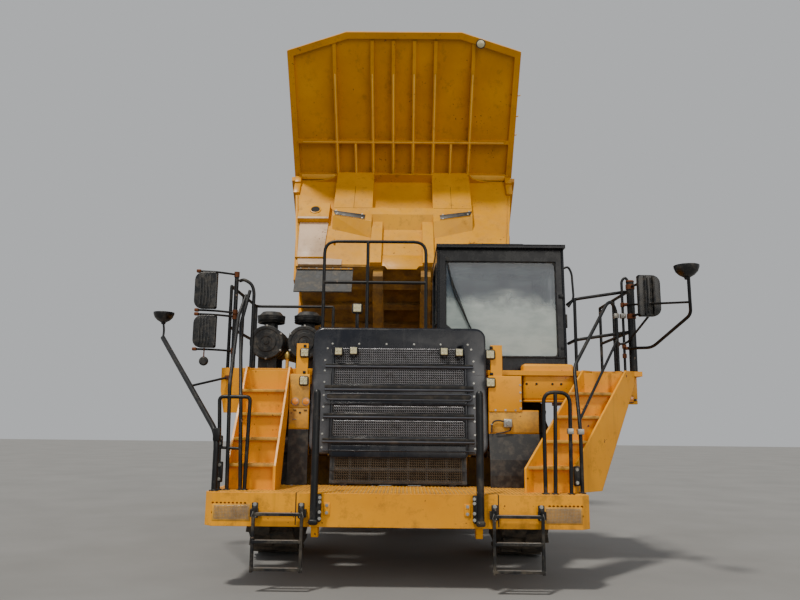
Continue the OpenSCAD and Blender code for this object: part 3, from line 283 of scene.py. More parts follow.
bed_paint = ((214, 150, 0), (192, 130, 0), (132, 92, 30))
finishes = {
    "yellow": painted("yellow_paint", (234, 158, 0), (212, 138, 0), (128, 88, 26)),
    "bed_yellow": painted("bed_yellow_paint", *bed_paint),
    "side_load": painted("bed_side_paint", *bed_paint, overlay=side_wear),
    "wall_load": painted("bed_wall_paint", *bed_paint, overlay=wall_wear),
    # Bed floor, seen from below: darker for dirt and painted shade, worn steel on its load side
    "floor_load": painted("bed_floor_paint", (168, 122, 38), (128, 96, 52), (84, 64, 44), 0.4, 0.62, 0.6,
                          overlay=floor_wear),
    # Underside of the bed: darker for dirt and painted shade
    "floor_under": painted("underside_dirt_and_painted_shade", (186, 128, 22), (136, 98, 44), (80, 60, 40), 0.4, 0.62, 0.6),
    "worn_yellow": painted("worn_walkway_paint", (226, 164, 46), (190, 136, 52), (126, 98, 62), 0.44, 0.62,
                           0.5),
    "frame_yellow": painted("chassis_paint", (196, 142, 34), (150, 112, 44), (84, 68, 50), 0.46, 0.68, 0.5),
    # Lighter yellow for the canopy's rib edges: a painted highlight
    "rib_edge_highlight": painted("painted_rib_edge_highlight", (242, 190, 74), (226, 168, 52), (164, 124, 60), gloss=0.4),
    "burnt": painted("burnt_paint", (206, 178, 150), (178, 150, 120), (132, 110, 96), gloss=0.55),
    "joint": painted("joint_line", (110, 78, 20), (96, 66, 18), (70, 52, 30), gloss=0.6, chips=None),
    "navy": painted("navy_black_paint", (14, 17, 24), (9, 11, 16), (66, 66, 66), 0.62, 0.9, 0.24, None),
    # Nose paint with a painted reflection of pale sky on its sides and low front
    "nose_navy": painted("nose_navy_paint", (14, 18, 28), (8, 11, 17), (72, 72, 72), 0.6, 0.9, 0.2, None,
                         painted_nose_reflection),
    # Lighter navy for the lips of the grille's slots: wear and a painted highlight
    "navy_wear_and_highlight": painted("navy_paint_wear_and_painted_highlight", (62, 66, 76), (36, 39, 47), (104, 98, 90), gloss=0.45,
                         chips=None),
    "rail": painted("black_rail_paint", (17, 19, 22), (10, 11, 13), (92, 84, 72), gloss=0.38,
                    chips=(120, 100, 84)),
    "dark": plastic("dark_plastic", (18, 19, 21)),
    "shell": plastic("lamp_shell", (20, 21, 23), 0.26),
    # Near black for slots, holes, seams and the space behind the grille: painted shade
    "hollow_shade": plastic("painted_hollow_shade", (9, 9, 10), 0.8),
    "seat": plastic("seat_cloth", (44, 46, 50), 0.8),
    "mesh": metal("sheet_holes", (132, 132, 136), (84, 82, 80), 0.34),
    "dusty_mesh": metal("dusty_core", (96, 84, 68), (52, 46, 38), 0.5),
    "rusty": metal("rusty_clamp", (112, 68, 44), (70, 44, 30), 0.6),
    "brass": metal("brass_end", (168, 140, 70), (110, 84, 48), 0.35),
    "engine": metal("engine_grey", (92, 90, 84), (48, 40, 32), 0.5),
    "steel": metal("bare_steel", (150, 148, 144), (96, 78, 60), 0.35),
    "zinc": metal("zinc_bolt", (176, 176, 170), (120, 100, 80), 0.3),
    "chrome": metal("hoist_chrome", (190, 192, 195), (120, 112, 100), 0.12),
    "mirror": metal("mirror_face", (196, 204, 212), (150, 150, 150), 0.06),
    "rubber": rubber("tyre_rubber", (34, 33, 32), (104, 92, 76)),
    "flap": rubber("flap_rubber", (52, 54, 56), (120, 112, 100)),
    "glass": clear_glass("cab_glass", (120, 140, 140), 0.28),
    # Windscreen with a painted reflection: pale sky low down, dark sky above
    "screen_glass": painted_reflection_glass("windscreen_glass", ((168, 180, 176), 0.66), ((34, 50, 70), 0.6), 3.24),
    "lens": lens("clear_lens", (198, 192, 152)),
    "amber": lens("amber_lens", (224, 134, 0)),
}
finished_nodes = {
    "yellow": "bumper left_deck right_deck left_stairs right_stairs front_panels fuel_tank hydraulic_tank "
              "rim_front_left rim_front_right rims_rear_left rims_rear_right",
    "frame_yellow": "frame front_suspension rear_axle rear_suspension knuckle_left knuckle_right "
                    "hoist_barrel_left hoist_barrel_right",
    "navy": "hood cab_shell cab_door",
    "rail": "ladders handrails left_mirrors right_mirrors guard_tubes",
    "dark": "grille fender_flaps air_cleaners",
    "rubber": "tyre_front_left tyre_front_right tyres_rear_left tyres_rear_right",
    "chrome": "hoist_sleeve_left hoist_sleeve_right hoist_rod_left hoist_rod_right",
    "floor_load": "bed_floor", "wall_load": "bed_front", "side_load": "bed_sides", "flap": "bed_fittings",
    "screen_glass": "cab_glass", "glass": "door_glass", "seat": "cab_interior", "lens": "lamps",
    "engine": "engine", "steel": "tie_rod",
}
for finish, nodes in finished_nodes.items():
    for node in nodes.split():
        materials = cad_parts[node].data.materials
        materials.clear()
        materials.append(finishes[finish])


# Shapes


def moved(work, matrix):
    bmesh.ops.transform(work, matrix=matrix, verts=work.verts[:])
    return work


def tilted(where, angle):
    """The space that stands at a place and is turned about the x axis."""
    return Matrix.Translation(where) @ Matrix.Rotation(angle, 4, "X")


def softened(work, edges, offset, steps=2):
    bmesh.ops.bevel(work, geom=edges, offset=offset, segments=steps, profile=0.5, affect="EDGES")
    return work


def slab(low, high, edge=0.006, steps=2):
    """A block between two corners with its edges rounded."""
    work = bmesh.new()
    bmesh.ops.create_cube(work, size=1.0)
    low, high = Vector(low), Vector(high)
    size = high - low
    for vert in work.verts:
        vert.co = (low + high) / 2 + Vector(vert.co[i] * size[i] for i in range(3))
    return softened(work, work.edges[:], min(edge, min(size) * 0.45), steps)


def ring_round(work, centre, side, other, radius, steps):
    ring = []
    for i in range(steps):
        angle = 2 * math.pi * i / steps
        ring.append(work.verts.new(centre + (side * math.cos(angle) + other * math.sin(angle)) * radius))
    return ring


def skinned(work, rings, steps):
    """Faces between rings and over the open ends; a ring may be one point."""
    for one, two in zip(rings, rings[1:]):
        for i in range(steps):
            j = (i + 1) % steps
            corners = [one[i % len(one)], one[j % len(one)], two[j % len(two)], two[i % len(two)]]
            work.faces.new([c for n, c in enumerate(corners) if c not in corners[:n]])
    for ring in (rings[0], rings[-1]):
        if len(ring) > 1:
            work.faces.new(ring)
    bmesh.ops.recalc_face_normals(work, faces=work.faces[:])
    return work


def turned(profile, start, way, steps=32):
    """A shape turned round a line; profile holds distance along it and radius."""
    work = bmesh.new()
    start = Vector(start)
    axis = Vector(way).normalized()
    side = axis.orthogonal().normalized()
    rings = []
    for along, radius in profile:
        centre = start + axis * along
        if radius == 0:
            rings.append([work.verts.new(centre)])
        else:
            rings.append(ring_round(work, centre, side, axis.cross(side), radius, steps))
    return skinned(work, rings, steps)


def rounded_path(points, bend, steps=5):
    points = [Vector(p) for p in points]
    path = [points[0]]
    for before, here, after in zip(points, points[1:], points[2:]):
        reach = min(bend, (here - before).length * 0.49, (after - here).length * 0.49)
        start = here + (before - here).normalized() * reach
        end = here + (after - here).normalized() * reach
        for i in range(steps + 1):
            t = i / steps
            path.append(start.lerp(here, t).lerp(here.lerp(end, t), t))
    path.append(points[-1])
    return path


def tube(points, radius, bend=0.05, sides=14):
    """A round bar along a path with its corners bent."""
    path = rounded_path(points, bend)
    work = bmesh.new()
    rings = []
    side = None
    for i, here in enumerate(path):
        way = path[min(i + 1, len(path) - 1)] - path[max(i - 1, 0)]
        way.normalize()
        if side is None:
            side = way.orthogonal().normalized()
        side = (side - way * side.dot(way)).normalized()
        rings.append(ring_round(work, here, side, way.cross(side), radius, sides))
    return skinned(work, rings, sides)


def boxed(work, front, back):
    """Faces over a front outline, a back one and the walls between."""
    work.faces.new(front)
    work.faces.new(back[::-1])
    for i, start in enumerate(front):
        j = (i + 1) % len(front)
        work.faces.new([front[j], start, back[i], back[j]])
    bmesh.ops.recalc_face_normals(work, faces=work.faces[:])


def pressed(outline, depth, axis=ahead, edge=0.004):
    """A plate cut to an outline of 3-D points and given a thickness along an axis."""
    work = bmesh.new()
    depth = Vector(axis) * depth
    front = [work.verts.new(Vector(p)) for p in outline]
    boxed(work, front, [work.verts.new(Vector(p) + depth) for p in outline])
    return softened(work, work.edges[:], edge)


class Parts(list):
    """The shapes of one object with their finishes, placed from the bumper's face or in their own space."""

    def __init__(self, space=None):
        super().__init__()
        self.space = space

    def put(self, finish, *works):
        for work in works:
            if self.space is not None:
                moved(work, self.space)
            self.append((work, finish))

    def spot(self, place):
        return at(*place) if self.space is None else Vector(place)

    def block(self, low, high, finish, edge=0.006, steps=2):
        self.put(finish, slab(self.spot(low), self.spot(high), edge, steps))

    def centred(self, x, half, low, high, finish, edge=0.006, steps=2):
        """A block that reaches as far to both sides of x; low and high are its other two coordinates."""
        self.block((x - half, *low), (x + half, *high), finish, edge, steps)

    def bar(self, points, radius, finish, bend=0.05, sides=14):
        self.put(finish, tube([self.spot(p) for p in points], radius, bend, sides))

    def rail(self, radius, *points, finish="rail", bend=0.05, sides=14):
        """A bar whose points are given in millimetres."""
        self.bar([[c / 1000 for c in p] for p in points], radius, finish, bend, sides)

    def turn(self, profile, start, way, finish, steps=32):
        self.put(finish, turned(profile, self.spot(start), way, steps))

    def disc(self, centre, radius, depth, finish, way=ahead, edge=0.004, steps=32):
        edge = min(edge, depth / 2)
        profile = [(0, 0), (0, radius), (depth - edge, radius), (depth, radius - edge), (depth, 0)]
        self.turn(profile, centre, way, finish, steps)


def shown(name, data):
    made = bpy.data.objects.new(name, data)
    bpy.context.scene.collection.objects.link(made)
    return made


def piece(name, parts, body):
    """Joins parts, each a shape and the finish it takes, into one object that rides on a body."""
    used = []
    whole = bmesh.new()
    for work, finish in parts:
        if finish not in used:
            used.append(finish)
        for face in work.faces:
            face.material_index = used.index(finish)
            face.smooth = True
        bit = bpy.data.meshes.new("bit")
        work.to_mesh(bit)
        work.free()
        whole.from_mesh(bit)
        bpy.data.meshes.remove(bit)
    mesh = bpy.data.meshes.new(name)
    whole.to_mesh(mesh)
    whole.free()
    for finish in used:
        mesh.materials.append(finishes[finish])
    made = shown(name, mesh)
    mesh.set_sharp_from_angle(angle=math.radians(35))
    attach(made, body)
    return made


# What repeats, as trees of nodes


class Grower(Tree):
    """A Geometry Nodes tree with named sizes, whose result is kept as a plain mesh."""

    def __init__(self, name, sizes):
        self.tree = bpy.data.node_groups.new(name, "GeometryNodeTree")
        self.keys = {}
        self.tree.interface.new_socket("Geometry", in_out="INPUT", socket_type="NodeSocketGeometry")
        for label, value in sizes.items():
            kind = "NodeSocketInt" if isinstance(value, int) else "NodeSocketFloat"
            socket = self.tree.interface.new_socket(label, in_out="INPUT", socket_type=kind)
            socket.default_value = value
            self.keys[label] = socket.identifier
        finish = self.tree.interface.new_socket("Finish", in_out="INPUT", socket_type="NodeSocketMaterial")
        self.keys["Finish"] = finish.identifier
        self.tree.interface.new_socket("Geometry", in_out="OUTPUT", socket_type="NodeSocketGeometry")
        self.given = self.tree.nodes.new("NodeGroupInput").outputs

    def grid(self, long):
        """A flat grid of the given width, and as long as the size with the given name."""
        sizes = {"Size X": "Width", "Size Y": long, "Vertices X": "Columns", "Vertices Y": "Rows"}
        return self.first("GeometryNodeMeshGrid", {key: self.given[label] for key, label in sizes.items()})

    def repeated(self, points, shape, **inputs):
        """A shape set on every point."""
        return self.first("GeometryNodeInstanceOnPoints", {"Points": points, "Instance": shape, **inputs})

    def end(self, geometry):
        real = self.first("GeometryNodeRealizeInstances", {"Geometry": geometry})
        coated = self.first("GeometryNodeSetMaterial", {"Geometry": real, "Material": self.given["Finish"]})
        self.add("NodeGroupOutput", {0: coated})
        return self

    def grow(self, name, sizes, finish, body, seed=None, place=None):
        """Grows the tree on a seed mesh or on nothing, and moves what has grown to its place."""
        holder = shown(name, seed or bpy.data.meshes.new("none"))
        modifier = holder.modifiers.new("grow", "NODES")
        modifier.node_group = self.tree
        for label, value in sizes.items():
            modifier[self.keys[label]] = value
        modifier[self.keys["Finish"]] = finishes[finish]
        bpy.context.view_layer.update()
        seen = holder.evaluated_get(bpy.context.evaluated_depsgraph_get())
        mesh = bpy.data.meshes.new_from_object(seen)
        holder.modifiers.clear()
        holder.data = mesh
        mesh.name = name
        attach(holder, body)
        if place is not None:
            mesh.transform(place)


def bolt_grower():
    """Hexagon heads with a washer under each."""
    grower = Grower("bolt_heads", {"Radius": 0.015, "Height": 0.01})
    radius = grower.given["Radius"]
    height = grower.given["Height"]
    head = grower.first("GeometryNodeMeshCylinder", {"Vertices": 6, "Radius": radius, "Depth": height})
    lift = grower.first("ShaderNodeCombineXYZ", {"Z": grower.math("MULTIPLY", height, 0.5)})
    head = grower.first("GeometryNodeTransform", {"Geometry": head, "Translation": lift})
    wide = grower.math("MULTIPLY", radius, 1.35)
    thin = grower.math("MULTIPLY", height, 0.3)
    washer = grower.first("GeometryNodeMeshCylinder", {"Vertices": 12, "Radius": wide, "Depth": thin})
    both = grower.add("GeometryNodeJoinGeometry")
    for part in (head, washer):
        grower.put(both.inputs[0], part)
    facing = grower.first("GeometryNodeInputNamedAttribute", {"Name": "facing"}, data_type="FLOAT_VECTOR")
    turn = grower.first("FunctionNodeAlignRotationToVector", {"Vector": facing}, axis="Z")
    return grower.end(grower.repeated(grower.given["Geometry"], both.outputs[0], Rotation=turn))


def honeycomb_grower():
    """A sheet of wires round six-sided holes."""
    grower = Grower("screen", {"Width": 1.0, "Height": 1.0, "Columns": 40, "Rows": 40, "Wire": 0.003})
    cut = grower.first("GeometryNodeTriangulate", {"Mesh": grower.grid("Height")})
    cells = grower.first("GeometryNodeDualMesh", {"Mesh": cut})
    wires = grower.first("GeometryNodeMeshToCurve", {"Mesh": cells})
    radius = grower.given["Wire"]
    section = grower.first("GeometryNodeCurvePrimitiveCircle", {"Resolution": 3, "Radius": radius})
    return grower.end(grower.first("GeometryNodeCurveToMesh", {"Curve": wires, "Profile Curve": section}))


def grip_grower():
    """Low lugs over a sheet, each turned across the one beside it."""
    grower = Grower("grip_plate", {"Width": 1.0, "Length": 1.0, "Columns": 20, "Rows": 20, "Lug": 0.012,
                                   "Rise": 0.004})
    given = grower.given
    sheet = grower.grid("Length")
    lug = grower.first("GeometryNodeMeshIcoSphere", {"Radius": 1.0, "Subdivisions": 1})
    narrow = grower.math("MULTIPLY", given["Lug"], 0.42)
    size = grower.first("ShaderNodeCombineXYZ", {"X": given["Lug"], "Y": narrow, "Z": given["Rise"]})
    odd = grower.math("MODULO", grower.first("GeometryNodeInputIndex"), 2.0)
    turn = grower.math("MULTIPLY_ADD", odd, math.pi / 2, math.pi / 4)
    angles = grower.first("ShaderNodeCombineXYZ", {"Z": turn})
    rotation = grower.first("FunctionNodeEulerToRotation", {0: angles})
    return grower.end(grower.repeated(sheet, lug, Rotation=rotation, Scale=size))


bolts = bolt_grower()
screens = honeycomb_grower()
grips = grip_grower()


def bolt_heads(name, places, radius, height, body="chassis", finish="zinc"):
    """Bolt heads at places, each given with the way it faces."""
    mesh = bpy.data.meshes.new(name + "_seeds")
    mesh.from_pydata([tuple(place) for place, way in places], [], [])
    facing = mesh.attributes.new("facing", "FLOAT_VECTOR", "POINT")
    for i, (place, way) in enumerate(places):
        facing.data[i].vector = way
    bolts.grow(name, {"Radius": radius, "Height": height}, finish, body, mesh)


def bolt_rows(name, rows, radius, height):
    """Bolt heads at places measured from the bumper's face."""
    bolt_heads(name, [(at(*place), way) for place, way in rows], radius, height)


def grip_sheet(name, low, high, z):
    """Raised lugs over a flat top, from one corner to the other."""
    width = high[0] - low[0]
    length = high[1] - low[1]
    apart = 0.041
    behind = 0.037
    sizes = {"Width": width, "Length": length, "Columns": max(2, round(width / apart)),
             "Rows": max(2, round(length / behind)), "Lug": 0.021, "Rise": 0.006}
    middle = at((low[0] + high[0]) / 2, (low[1] + high[1]) / 2, z)
    grips.grow(name, sizes, "worn_yellow", "chassis", place=Matrix.Translation(middle))


# Camera, floor and light


def place_camera():
    right = Vector((0.99993539, 0.00550943, 0.00994315))
    down = Vector((0.00883631, 0.17354697, -0.98478595))
    forward = Vector((-0.00715121, 0.98481018, 0.17348707))
    camera = shown("camera", bpy.data.cameras.new("camera"))
    camera.data.sensor_width = 36.0
    camera.data.lens = 715.0 / 800.0 * 36.0
    camera.data.clip_end = 300.0
    columns = [right, -down, -forward, at(0.065, -7.7, 1.68)]
    camera.matrix_world = Matrix([[c[i] for c in columns] for i in range(3)] + [[0, 0, 0, 1]])
    bpy.context.scene.camera = camera


def lay_floor():
    look = Finish("pale_floor")
    tone = look.mix(look.spread(look.noise(0.6, 4.0), 0.3, 0.7), (126, 126, 125), (116, 116, 115))
    look.set(Base_Color=tone, Roughness=0.8)
    mesh = bpy.data.meshes.new("floor")
    half = 60.0
    corners = [(-half, -half, 0), (half, -half, 0), (half, half, 0), (-half, half, 0)]
    mesh.from_pydata(corners, [], [(0, 1, 2, 3)])
    mesh.materials.append(look.material)
    floor = shown("floor", mesh)


def light_studio():
    world = bpy.data.worlds.new("studio")
    bpy.context.scene.world = world
    world.use_nodes = True
    sky = world.node_tree.nodes["Background"]
    sky.inputs["Color"].default_value = (0.84, 0.86, 0.88, 1.0)
    sky.inputs["Strength"].default_value = 0.6
    for name, turn, strength, spread in (("key", (27, 0, -34), 3.3, 6), ("fill", (68, 0, 24), 0.8, 40)):
        sun = bpy.data.lights.new(name, "SUN")
        sun.energy = strength
        sun.color = (1.0, 0.94, 0.84)
        sun.angle = math.radians(spread)
        shown(name, sun).rotation_euler = [math.radians(a) for a in turn]


place_camera()
lay_floor()
light_studio()


# Nose and grille

nose_low = at(0, 0.95, 1.34)
nose_high = at(0, 1.15, 2.85)
nose_back = at(0, 1.148, 0).y
nose_tail = at(0, 1.418, 0).y
nose_lean = math.atan2(nose_high.y - nose_low.y, nose_high.z - nose_low.z)
opening_half = 0.812
opening_top = 2.642
panel_half = 0.905


def on_nose(x, z, out=0.0):
    """A place on the leaning face of the nose, or a distance out from it."""
    share = (z - nose_low.z) / (nose_high.z - nose_low.z)
    return Vector((x, nose_low.y + share * (nose_high.y - nose_low.y) - out, z))


def corner_arc(x, z, radius, start, steps=6, turn=90):
    """Points round a corner in the plane of the nose."""
    angles = [math.radians(start + turn * i / steps) for i in range(steps + 1)]
    return [on_nose(x + radius * math.cos(a), z + radius * math.sin(a)) for a in angles]


def hood_part(outline, back, cut):
    """A pressed part of the nose: its outline drawn back to a depth, rounded in front but at the cut."""
    work = bmesh.new()
    front = [work.verts.new(p) for p in outline]
    boxed(work, front, [work.verts.new((p.x, back, p.z)) for p in outline])
    pairs = zip(front, front[1:] + front[:1])
    rims = [work.edges.get(pair) for pair in pairs if max(abs(end.co.z - cut) for end in pair) > 1e-5]
    softened(work, rims, 0.035, 4)
    bmesh.ops.triangulate(work, faces=[f for f in work.faces if len(f.verts) > 4])
    return work


def make_hood():
    low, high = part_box("hood")
    half, top, foot = high.x, high.z, low.z
    cut = deck_top - 0.07
    big = 0.13
    small = 0.05
    outline = corner_arc(half - big, top - big, big, 0) + corner_arc(-half + big, top - big, big, 90)
    outline += [on_nose(-half, cut), on_nose(-opening_half, cut)]
    outline += corner_arc(-opening_half + small, opening_top - small, small, 180, 4)[::-1]
    outline += corner_arc(opening_half - small, opening_top - small, small, 90, 4)[::-1]
    outline += [on_nose(opening_half, cut), on_nose(half, cut)]
    parts = Parts()
    parts.put("nose_navy", hood_part(outline, nose_tail, cut))
    for side, start in ((-1, 180), (1, 270)):
        corner = corner_arc(side * (half - big), foot + big, big, start)[::-side]
        outline = [on_nose(side * half, cut)] + corner
        outline += [on_nose(side * opening_half, foot), on_nose(side * opening_half, cut)]
        parts.put("nose_navy", hood_part(outline, nose_back, cut))
    parts.block((-0.95, 1.402, deck_top - 0.059), (0.43, 3.038, hood_top - 0.091), "navy", 0.04, 4)
    hood = piece("hood_shell", parts, "chassis")
    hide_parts("hood")
    spots = [(x, 2.678) for x in (-0.83, -0.5, -0.16, 0.18, 0.51, 0.845)]
    for side in (-1, 1):
        spots.append((side * 0.887, 2.618))
        spots += [(side * 0.912, z) for z in (2.47, 2.34, 2.2, 2.04, 1.9, 1.74, 1.58, 1.42)]
    bolt_heads("hood_bolts", [(on_nose(x, z, 0.001), (0, -1, 0.13)) for x, z in spots], 0.009, 0.006)


def leaning_slab(left, right, z, height, inside, outside, edge=0.004):
    """A block that lies along the leaning nose; inside and outside are distances out from its face."""
    work = slab((left, -outside, -height / 2), (right, -inside, height / 2), edge)
    return moved(work, tilted(on_nose(0, z), -nose_lean))


def nose_bar(parts, half, z, out, radius, finish):
    parts.put(finish, tube([on_nose(-half, z, out), on_nose(half, z, out)], radius, sides=8))


def nose_screen(name, low, high, half, out, finish):
    cell = 0.026
    tall = (high - low) / math.cos(nose_lean)
    sizes = {"Width": 2 * half, "Height": tall, "Columns": round(2 * half / cell), "Rows": round(tall / cell),
             "Wire": 0.005}
    place = tilted(on_nose(0, (low + high) / 2, out), math.pi / 2 - nose_lean)
    screens.grow(name, sizes, finish, "chassis", place=place)


def make_grille():
    """The pressed and perforated sheet of the nose, its slots, and the screen of the cooler below it; painted
    shade in the slots and behind the sheet.
    """
    sheets = ((1.442, 1.531), (1.546, 1.749), (1.825, 1.924), (2.171, 2.375), (2.424, 2.63))
    bands = ((2.366, 2.43), (1.918, 2.178), (1.742, 1.831), (1.455, 1.552), (1.31, 1.448))
    slots = ((2.406, 2.424), (2.124, 2.163), (1.794, 1.823), (1.504, 1.531))
    for i, (low, high) in enumerate(sheets):
        nose_screen("grille_mesh_" + str(i + 1), low, high, 0.795, 0.004, "mesh")
    nose_screen("cooler_screen", 1.01, 1.325, 0.76, -0.012, "dusty_mesh")
    parts = Parts()
    half = opening_half - 0.012
    for low, high in bands:
        parts.put("nose_navy", leaning_slab(-half, half, (low + high) / 2, high - low, -0.002, 0.01))
    for low, high in slots:
        # Dark strip in each slot: painted shade
        parts.put("hollow_shade", leaning_slab(-panel_half, panel_half, (low + high) / 2, high - low, 0.001, 0.013))
        # Lip under each slot in lighter navy: wear and a painted highlight
        nose_bar(parts, panel_half, low - 0.016, 0.012, 0.014, "navy_wear_and_highlight")
    # The long slot with round ends, in its raised rim of lighter navy for wear and a painted highlight, and
    # painted shade inside
    middle = 2.024
    reach = 0.85
    high = 0.034
    rim = corner_arc(reach, middle, high, -90, 8, 180) + corner_arc(-reach, middle, high, 90, 8, 180)
    rim = [p - Vector((0, 0.012, 0)) for p in rim]
    parts.put("navy_wear_and_highlight", tube(rim + [rim[0]], 0.008, 0.005, 8))
    hollow = leaning_slab(-reach - 0.025, reach + 0.025, middle, 2 * high - 0.006, 0, 0.0135, 0.02)
    parts.put("hollow_shade", hollow)
    for z in (1.95, 1.936, 1.386):
        nose_bar(parts, panel_half, z, 0.01, 0.006, "nose_navy")
    for side in (-1, 1):
        near, far = sorted((side * 0.8, side * 0.822))
        parts.put("nose_navy", leaning_slab(near, far, 1.985, 1.33, -0.004, 0.008))
        parts.put("dark", leaning_slab(side * 0.77 - 0.035, side * 0.77 + 0.035, 1.17, 0.34, -0.06, -0.03))
    for z in (1.1, 1.19, 1.27):
        nose_bar(parts, 0.74, z, -0.03, 0.006, "dark")
    piece("grille_sheet", parts, "chassis")
    # Dark sheet behind the perforated sheet: painted shade
    piece("grille_shade", [(leaning_slab(-0.795, 0.795, 1.825, 1.61, -0.1, -0.06), "hollow_shade")], "chassis")


def led_lamp(parts, centre, size, facing=(0, -1, 0.05)):
    """A square work lamp: a rounded housing, a lens of four cells and cooling fins behind."""
    turn = Vector(facing).normalized().to_track_quat("Z", "Y").to_matrix().to_4x4()
    bits = Parts(Matrix.Translation(centre) @ turn)
    half = size / 2
    inner = half * 0.74
    bits.block((-half, -half, -0.07), (half, half, 0.002), "shell", size * 0.22, 4)
    bits.block((-inner, -inner, -0.012), (inner, inner, 0.003), "lens", size * 0.1, 3)
    cell = [(0, inner * 0.46), (0.005, inner * 0.42), (0.002, inner * 0.2), (0.007, 0)]
    for x in (-inner / 2, inner / 2):
        for y in (-inner / 2, inner / 2):
            bits.turn(cell, (x, y, 0.003), upward, "lens", 10)
    for k in range(4):
        y = -half + size * (k + 0.8) / 4.6
        bits.block((-half * 0.8, y - 0.004, -0.085), (half * 0.8, y + 0.004, -0.066), "dark", 0.001, 1)
    parts.extend(bits)


# Bumper, walkway and steps


def make_bumper_details():
    grip_sheet("walkway_grip", (-1.97, 0.065), (1.97, 0.995), walk_top)
    parts = Parts()
    posts = Parts()
    rows = []
    post = [(0, 0), (0, 0.04), (1.32, 0.04), (1.344, 0.035), (1.36, 0.022), (1.364, 0)]
    for side in (-1, 1):
        near, far = sorted((side * 1.53, side * 1.925))
        parts.block((near, -0.004, 0.695), (far, 0, 0.865), "worn_yellow", 0.03, 3)
        # Seams between the bumper's plates, dark with painted shade
        seam = side * 1.055
        parts.centred(seam, 0.006, (-0.0015, 0.66), (0.002, 0.98), "hollow_shade", 0.001, 1)
        parts.centred(seam, 0.006, (0, 0.979), (0.42, 0.9815), "hollow_shade", 0.001, 1)
        plate = side * 0.732
        parts.centred(plate, 0.034, (-0.01, 0.76), (0.001, 0.885), "yellow")
        rows += [((plate, -0.01, z), ahead) for z in (0.785, 0.86)]
        parts.centred(side * 0.818, 0.032, (-0.085, 0.7), (0, 0.975), "rail", 0.01)
        rows += [((side * 0.797, -0.085, z), ahead) for z in (0.735, 0.8, 0.9, 0.945)]
        foot = side * 0.86
        parts.centred(foot, 0.048, (-0.122, 0.672), (-0.012, 0.73), "rail", 0.02, 3)
        rows += [((side * x, 0.94, walk_top), upward) for x in (0.3, 0.95, 1.25, 1.7)]
        parts.bar([(foot, 0.075, 0.59), (foot, 0.15, 0.59)], 0.03, "steel", sides=12)
        posts.turn(post, (foot, -0.07, 0.69), upward, "rail", 20)
        for z in (0.77, 0.9):
            posts.centred(foot, 0.02, (-0.07, z - 0.02), (0.001, z + 0.02), "rail")
    guards = piece("guard_posts", posts, "chassis")
    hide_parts("guard_tubes")
    # Weld bead along the top edge of the face
    parts.bar([(-1.93, 0.004, 0.975), (1.93, 0.004, 0.975)], 0.005, "yellow", sides=6)
    piece("bumper_plates", parts, "chassis")
    sizes = {"Width": 0.37, "Height": 0.145, "Columns": 25, "Rows": 11, "Wire": 0.0025}
    for side, word in ((-1, "right"), (1, "left")):
        place = tilted(at(side * 1.727, -0.005, 0.78), math.pi / 2)
        screens.grow("bumper_screen_" + word, sizes, "steel", "chassis", place=place)
    bolt_rows("bumper_bolts", rows, 0.013, 0.01)


def make_ladder_details():
    parts = Parts()
    rows = []
    for middle in (-1.23, 1.25):
        for side in (-1, 1):
            x = middle + side * 0.24
            parts.centred(x, 0.034, (-0.056, 0.73), (-0.04, 0.885), "rail", 0.012)
            parts.centred(x, 0.02, (-0.088, 0.8), (-0.04, 0.85), "rail", 0.014)
            rows += [((x, -0.056, z), ahead) for z in (0.752, 0.868)]
            rows.append(((x + side * 0.016, -0.065, 0.235), (side, 0, 0)))
            clip = [(x, -0.066, 0.69), (x + side * 0.028, -0.078, 0.745), (x + side * 0.012, -0.082, 0.8)]
            parts.bar(clip, 0.006, "steel", 0.02, 8)
        for z in (0.23, 0.5, 0.77):
            parts.centred(middle, 0.225, (-0.088, z + 0.01), (-0.038, z + 0.018), "steel", 0.003)
    piece("ladder_treads", parts, "chassis")
    bolt_rows("ladder_bolts", rows, 0.015, 0.012)


def make_stair_details():
    """Worn edges of the treads, grip on them and on the decks, and the bolts of the side plates."""
    rise = (deck_top - walk_top) / 5
    parts = Parts()
    rows = []
    for k in range(1, 5):
        y = 0.3 + 0.175 * (k - 1)
        z = walk_top + rise * k
        shift = (y - 0.3) * 195 / 175
        for left, right in ((-1.848, -1.352), (1.422 + shift, 1.918 + shift)):
            parts.block((left, y - 0.003, z - 0.033), (right, y + 0.001, z + 0.002), "worn_yellow", 0.003)
        grip_sheet("right_tread_grip_" + str(k), (-1.82, y + 0.03), (-1.38, y + 0.19), z)
        grip_sheet("left_tread_grip_" + str(k), (1.56 + shift, y + 0.03), (1.9 + shift, y + 0.16), z)
    for x in (-1.845, -1.355):
        parts.bar([(x, 0.285, 1), (x, 0.285, 1.235)], 0.006, "yellow", sides=6)
    # Blocks that hold the gates and the hoops, and clamps on the hoops
    holders = (((2.64, 1.285, 1.9), (2.705, 1.335, 2.13)), ((1.905, 0.235, 1.06), (1.972, 0.285, 1.27)),
               ((-1.965, 0.235, 1.06), (-1.9, 0.285, 1.28)), ((-1.975, 0.235, 1.44), (-1.915, 0.28, 1.56)))
    clamps = (((1.826, 0.12, 1.61), (1.892, 0.185, 1.672)), ((1.96, 0.225, 1.606), (2.03, 0.295, 1.668)),
              ((2.7, 1.215, 3.045), (2.766, 1.285, 3.105)), ((2.816, 1.315, 3.06), (2.884, 1.385, 3.122)))
    for low, high in holders:
        parts.block(low, high, "rail", 0.012)
        rows += [(((low[0] + high[0]) / 2, low[1], z), ahead) for z in (low[2] + 0.035, high[2] - 0.035)]
    for low, high in clamps:
        parts.block(low, high, "zinc", 0.01)
    piece("stair_fittings", parts, "chassis")
    rows += [((-1.76, 1.16, z), ahead) for z in (2.254, 2.15)]
    rows += [((2.236, 1.4, z), ahead) for z in (2.15, 2.055)]
    bolt_rows("stair_bolts", rows, 0.014, 0.01)
    grip_sheet("right_deck_grip", (-2.14, 1.22), (-1.12, 2.9), deck_top)
    grip_sheet("left_deck_grip", (2.26, 1.3), (2.93, 2.9), deck_top)


